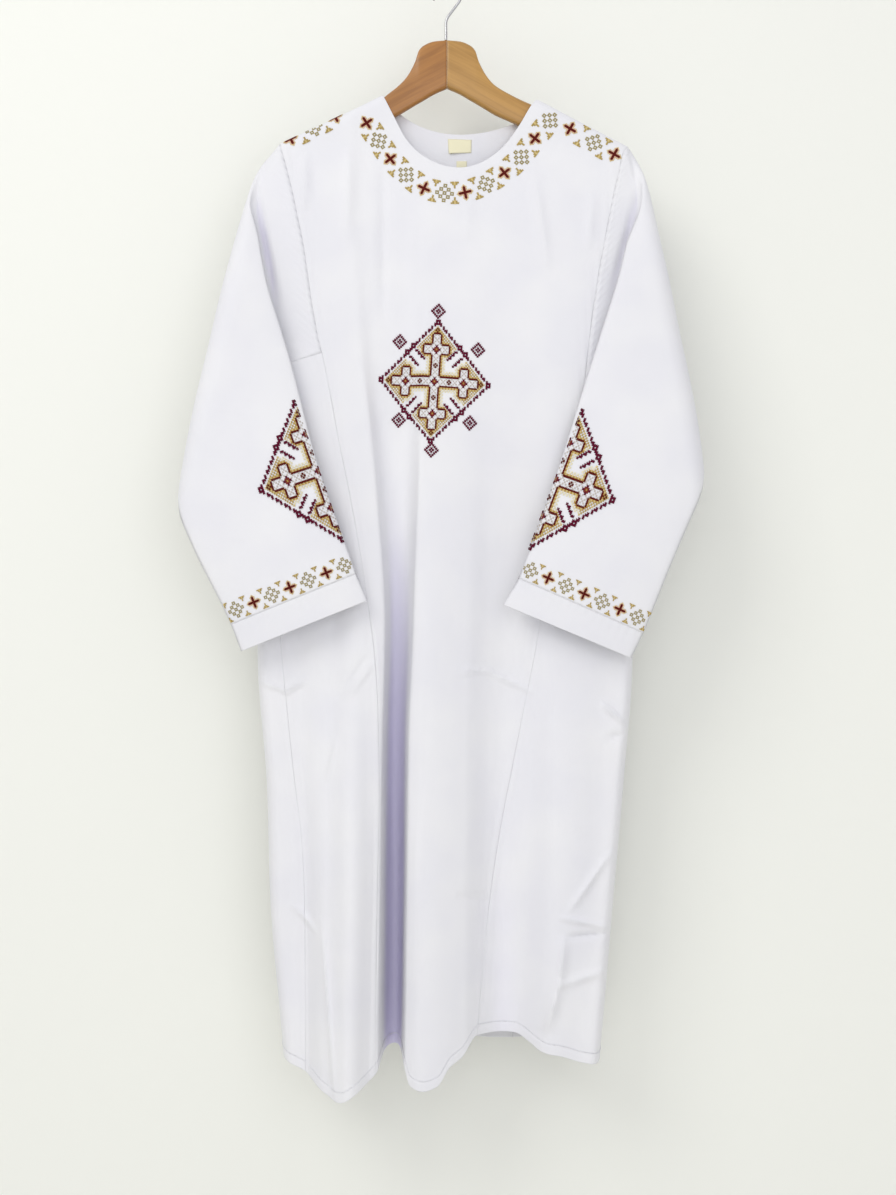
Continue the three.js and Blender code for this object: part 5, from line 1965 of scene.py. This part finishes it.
@dataclass
class Embroidery:
    """Where each piece of embroidery lies, with x and z of the middle of each motif.

    Attributes:
        tunic: the tunic.
        chest_centre: middle of the chest cross.
        chest_tilt: how far it leans, in degrees.
        ornaments: the six small ornaments round it.
        neck_spots: motifs round the neck.
        shoulder_right: motifs along the right shoulder.
        shoulder_left: motifs along the left shoulder.
        elbow: middle of each elbow cross in the sleeve's flat layout.
        elbow_cell: width and height of its cells.
        elbow_across: direction across it in the layout.
        elbow_up: direction up it.
        motif_cells: cell size of the dark cross and of the lattice diamond.
        cuff_cells: the same on the cuffs.
        cuff_start: first motif above a cuff seam.
        cuff_pitch: from motif to motif there.
        cuff_rise: height of the motifs above the cuff seam.
        cuff_count: motifs on each layer.
        cuff_edge: room kept at both ends.
        cuff_triangle: cell size of the triangles there.
        cuff_half: from the motifs' middle line to the base of the triangles.
        band_half: the same round the neck.
        triangle_cell: cell size of the triangles there.
    """

    tunic: Tunic
    chest_centre: tuple = (-15.6, -505.0)
    chest_tilt: float = 3.8
    ornaments: tuple = ((-10.6, -417.4), (-58.7, -453.8), (38.3, -465.5), (-60.2, -550.7), (28.1, -556.2),
                        (-19.3, -590.1))
    neck_spots: tuple = ((-100.3, -179.8), (-85.3, -202.0), (-70.7, -224.9), (-51.0, -245.3),
                         (-28.6, -263.1), (-3.1, -269.2), (22.4, -268.8), (48.5, -257.9), (71.4, -243.6),
                         (92.6, -223.7), (109.5, -200.0), (128.2, -177.6))
    shoulder_right: tuple = ((153.4, -187.8), (182.9, -205.3), (208.2, -220.2))
    shoulder_left: tuple = ((-139.6, -172.1), (-166.4, -186.0), (-195.2, -199.7))
    elbow: dict = field(default_factory=lambda: {Side.LEFT: (336.0, 201.0), Side.RIGHT: (356.5, 219.5)})
    elbow_cell: tuple = (1.97, 2.39)
    elbow_across: tuple = (0.53, -0.848)
    elbow_up: tuple = (-0.848, -0.53)
    motif_cells: tuple = (1.0, 1.55)
    cuff_cells: tuple = (0.88, 1.35)
    cuff_start: float = 9.5
    cuff_pitch: float = 23.6
    cuff_rise: float = 14.5
    cuff_count: int = 7
    cuff_edge: float = 0.6
    cuff_triangle: float = 1.5
    cuff_half: float = 11.5
    band_half: float = 13.0
    triangle_cell: float = 2.1

    def on_front(self, centre: tuple, angle: float):
        """Surface of the front round a centre, turned by an angle in degrees, clockwise."""
        cos, sin = math.cos(math.radians(angle)), math.sin(math.radians(angle))

        def place(u: np.ndarray, v: np.ndarray) -> np.ndarray:
            x = centre[0] + u * cos + v * sin
            z = centre[1] - u * sin + v * cos
            over = np.maximum(0.0, z - (self.tunic.body.ridge(x) - 0.4))
            z = z - 2 * over
            y = np.where(over > 0, self.tunic.body.back(x, z), self.tunic.body.front(x, z))
            return np.stack([x, y, z], axis=-1)

        return place

    @staticmethod
    def on_sleeve(sleeve: Sleeve, centre: tuple, across: tuple, up: tuple, layer: int = 0):
        """Surface of a sleeve round a place in its flat layout.

        Args:
            sleeve: the sleeve.
            centre: place along and out.
            across: direction of u in the layout.
            up: direction of v.
            layer: -1 for the layer towards the body, 1 for the one that shows, 0 for both, with u below 0
                on the hidden one.

        Returns:
            A function of u and v.
        """
        def place(u: np.ndarray, v: np.ndarray) -> np.ndarray:
            reach = u if layer else np.abs(u)
            sign = np.full_like(u, layer) if layer else np.where(u >= 0, 1.0, -1.0)
            down = centre[0] + reach * across[0] + v * up[0]
            out = centre[1] + reach * across[1] + v * up[1]
            return sleeve.place(down, out, sign)

        return place

    @staticmethod
    def motif(is_dark: bool, cells: tuple) -> tuple[Chart, float]:
        """Chart and cell size of the dark cross or of the lattice diamond."""
        return (maroon_motif(), cells[0]) if is_dark else (lattice_motif(), cells[1])

    def chest(self) -> StitchRun:
        """Cross on the chest with six small ornaments round it."""
        run = StitchRun("chest_cross")
        run.add(CrossChart().chart(), (1.8, 2.0), self.on_front(self.chest_centre, self.chest_tilt), 1)
        for spot in self.ornaments:
            run.add(star_motif(), (1.9, 2.0), self.on_front(spot, self.chest_tilt), 1)
        return run

    def add_triangles(self, run: StitchRun, before: np.ndarray, after: np.ndarray) -> None:
        """Lay a triangle at each edge of a band, between two motifs."""
        middle = (before + after) / 2
        step = (after - before) / np.linalg.norm(after - before)
        angle = -math.degrees(math.atan2(step[1], step[0]))
        normal = np.array([-step[1], step[0]])
        for side in (-1, 1):
            chart = {(i, -side * j): thread for (i, j), thread in triangle_chart().items()}
            place = self.on_front(tuple(middle + normal * side * self.band_half), angle)
            run.add(chart, (self.triangle_cell, self.triangle_cell), place, 1)

    def neck(self) -> StitchRun:
        """Ring round the neck: motifs in turn, triangles between them at both edges."""
        run = StitchRun("neck_ring")
        spots = np.array(self.neck_spots)
        lean = np.gradient(spots, axis=0)
        for index, spot in enumerate(self.neck_spots):
            angle = -math.degrees(math.atan2(lean[index, 1], lean[index, 0]))
            chart, cell = self.motif(index % 2 == 0, self.motif_cells)
            run.add(chart, (cell, cell), self.on_front(spot, angle), 1)
        for before, after in zip(spots[:-1], spots[1:]):
            self.add_triangles(run, before, after)
        return run

    def shoulders(self) -> StitchRun:
        """Bands along both shoulders."""
        run = StitchRun("shoulder_bands")
        for spots, angle in ((self.shoulder_right, 30.0), (self.shoulder_left, -27.0)):
            for index, spot in enumerate(spots):
                chart, cell = self.motif(index % 2 == 0, self.motif_cells)
                run.add(chart, (cell, cell), self.on_front(spot, angle), 1)
            for before, after in zip(spots, spots[1:]):
                self.add_triangles(run, np.array(before), np.array(after))
        return run

    def elbow_cross(self, side: Side) -> StitchRun:
        """Cross on the fold edge of a sleeve: half shows, half lies on the layer behind."""
        run = StitchRun(f"elbow_cross_{side.value}")
        sleeve = self.tunic.sleeves[side]
        place = self.on_sleeve(sleeve, self.elbow[side], self.elbow_across, self.elbow_up)
        outward = -1 if side is Side.LEFT else 1
        chart = CrossChart().chart()
        for shows in (True, False):
            half = {cell: thread for cell, thread in chart.items() if (cell[0] > 0) is shows}
            run.add(half, self.elbow_cell, place, outward)
        return run

    def cuff(self, side: Side) -> StitchRun:
        """Band above a cuff seam, on both layers."""
        run = StitchRun(f"cuff_embroidery_{side.value}")
        sleeve = self.tunic.sleeves[side]
        top = np.array([float(sleeve.t_along(1)), float(sleeve.t_out(1))])
        under = np.array([float(sleeve.o_along(1)), float(sleeve.o_out(1))])
        width = float(np.linalg.norm(under - top))
        step = (under - top) / width
        rise = np.array([-step[1], step[0]])
        rise = rise if rise[0] < 0 else -rise
        size, room = self.cuff_triangle, (self.cuff_edge, width - self.cuff_edge)
        for sign in (1, -1):
            for index in range(self.cuff_count):
                at = self.cuff_start + self.cuff_pitch * index
                place = self.on_sleeve(sleeve, top + step * at + rise * self.cuff_rise, step, rise, sign)
                probe = place(np.array([-0.5, 0.5, 0.0, 0.0]), np.array([0.0, 0.0, -0.5, 0.5]))
                facing = np.cross(probe[1] - probe[0], probe[3] - probe[2])[1]
                outward = -1 if facing * sign > 0 else 1
                chart, cell = self.motif(index % 2 == 1, self.cuff_cells)
                kept = {c: t for c, t in chart.items() if room[0] < at + c[0] * cell < room[1]}
                run.add(kept, (cell, cell), place, outward)
                for edge in (-1, 1):
                    shift, lift = 0.5 * self.cuff_pitch / size, edge * self.cuff_half / size
                    spread = {(i + shift, lift - edge * j): t for (i, j), t in triangle_chart().items()}
                    kept = {c: t for c, t in spread.items() if at + c[0] * size < room[1]}
                    run.add(kept, (size, size), place, outward)
        return run

    def hem_stitches(self, sheets: list[ClothSheet]) -> StitchRun:
        """Running stitches above every hem."""
        run = StitchRun("hem_stitches")
        for sheet in sheets:
            if not sheet.hem:
                continue
            _, hem = sheet.distances()
            row = int(np.argmin(np.abs(hem.mean(axis=1) - sheet.hem_depth)))
            normals = grid_normals(sheet.grid, sheet.ring, sheet.flip)
            run.add_line(sheet.grid[row] + normals[row] * 0.25, normals[row], 3.2, Thread.WHITE)
        return run


def dress(tunic: Tunic, cotton: bpy.types.Material) -> tuple[list[ClothSheet], dict[str, bpy.types.Object]]:
    """Build every piece of cloth in place of its plain solid.

    Args:
        tunic: the tunic's shape.
        cotton: cloth material.

    Returns:
        The sheets and the objects by name.
    """
    sheets = tunic.sheets()
    objects = {}
    for sheet in sheets:
        piece = sheet.build(cotton)
        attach(piece, "root")
        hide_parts(*Tunic.NODES.get(sheet.name, (sheet.name,)))
        objects[sheet.name] = piece
        LOG.info("%s: %d faces, %.3f m2", sheet.name, len(piece.data.polygons), sheet.area())
    return sheets, objects


def main() -> None:
    """Build everything in order."""
    logging.basicConfig(level=logging.INFO, format="%(message)s")
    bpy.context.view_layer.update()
    cotton = Poplin().build()
    label_cloth = LabelCloth().build()
    steel = HookSteel().build()
    warm = Wood("lacquered warm wood", "#ab7433", "#925f26", 28.0).build()
    pale = Wood("lacquered pale wood", "#b88b47", "#a37838", -28.0).build()
    threads = [EmbroideryThread(thread).build() for thread in Thread]
    tree = stitch_tree(threads)

    tunic = Tunic()
    sheets, cloth = dress(tunic, cotton)

    left_shoulder = ((78, -145, -176), (90, -157, -182), (106, -161, -189))
    right_shoulder = ((80, -142.5, -176), (107, -156, -189))
    hanger = [
        (HangerArm("wood_arm_left", -1, 0.0, shoulder=left_shoulder).build(warm),
         "hanger_arm_left", "warm_wood"),
        (HangerArm("wood_arm_right", 1, 4.0, shoulder=right_shoulder).build(pale),
         "hanger_arm_right", "pale_wood"),
        (Hook().build(steel), "hanger_hook", "hook_steel"),
    ]
    for piece, node, record_slot in hanger:
        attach(piece, "root")
        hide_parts(node)

    labels = [
        (Label("label", ((1, -194), (31, -195.2), (30.6, -211.5), (2.2, -213)), tunic.body), "size_label",
         (0.030, 0.0175)),
        (Label("tab", ((12, -222), (25, -222), (25, -236), (12, -236)), tunic.body), "care_tab",
         (0.013, 0.014)),
    ]
    for maker, node, flat in labels:
        piece = maker.build(label_cloth)
        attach(piece, "root")
        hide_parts(node)

    work = Embroidery(tunic)
    runs = [work.chest(), work.neck(), work.shoulders()]
    runs += [work.elbow_cross(side) for side in Side] + [work.cuff(side) for side in Side]
    runs.append(work.hem_stitches(sheets))
    for run in runs:
        piece = run.build(tree)
        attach(piece, "root")
        LOG.info("%s: %d faces", piece.name, len(piece.data.polygons))

    stage = Stage()
    stage.surfaces()
    stage.camera()
    stage.lights()


if __name__ == "__main__":
    main()
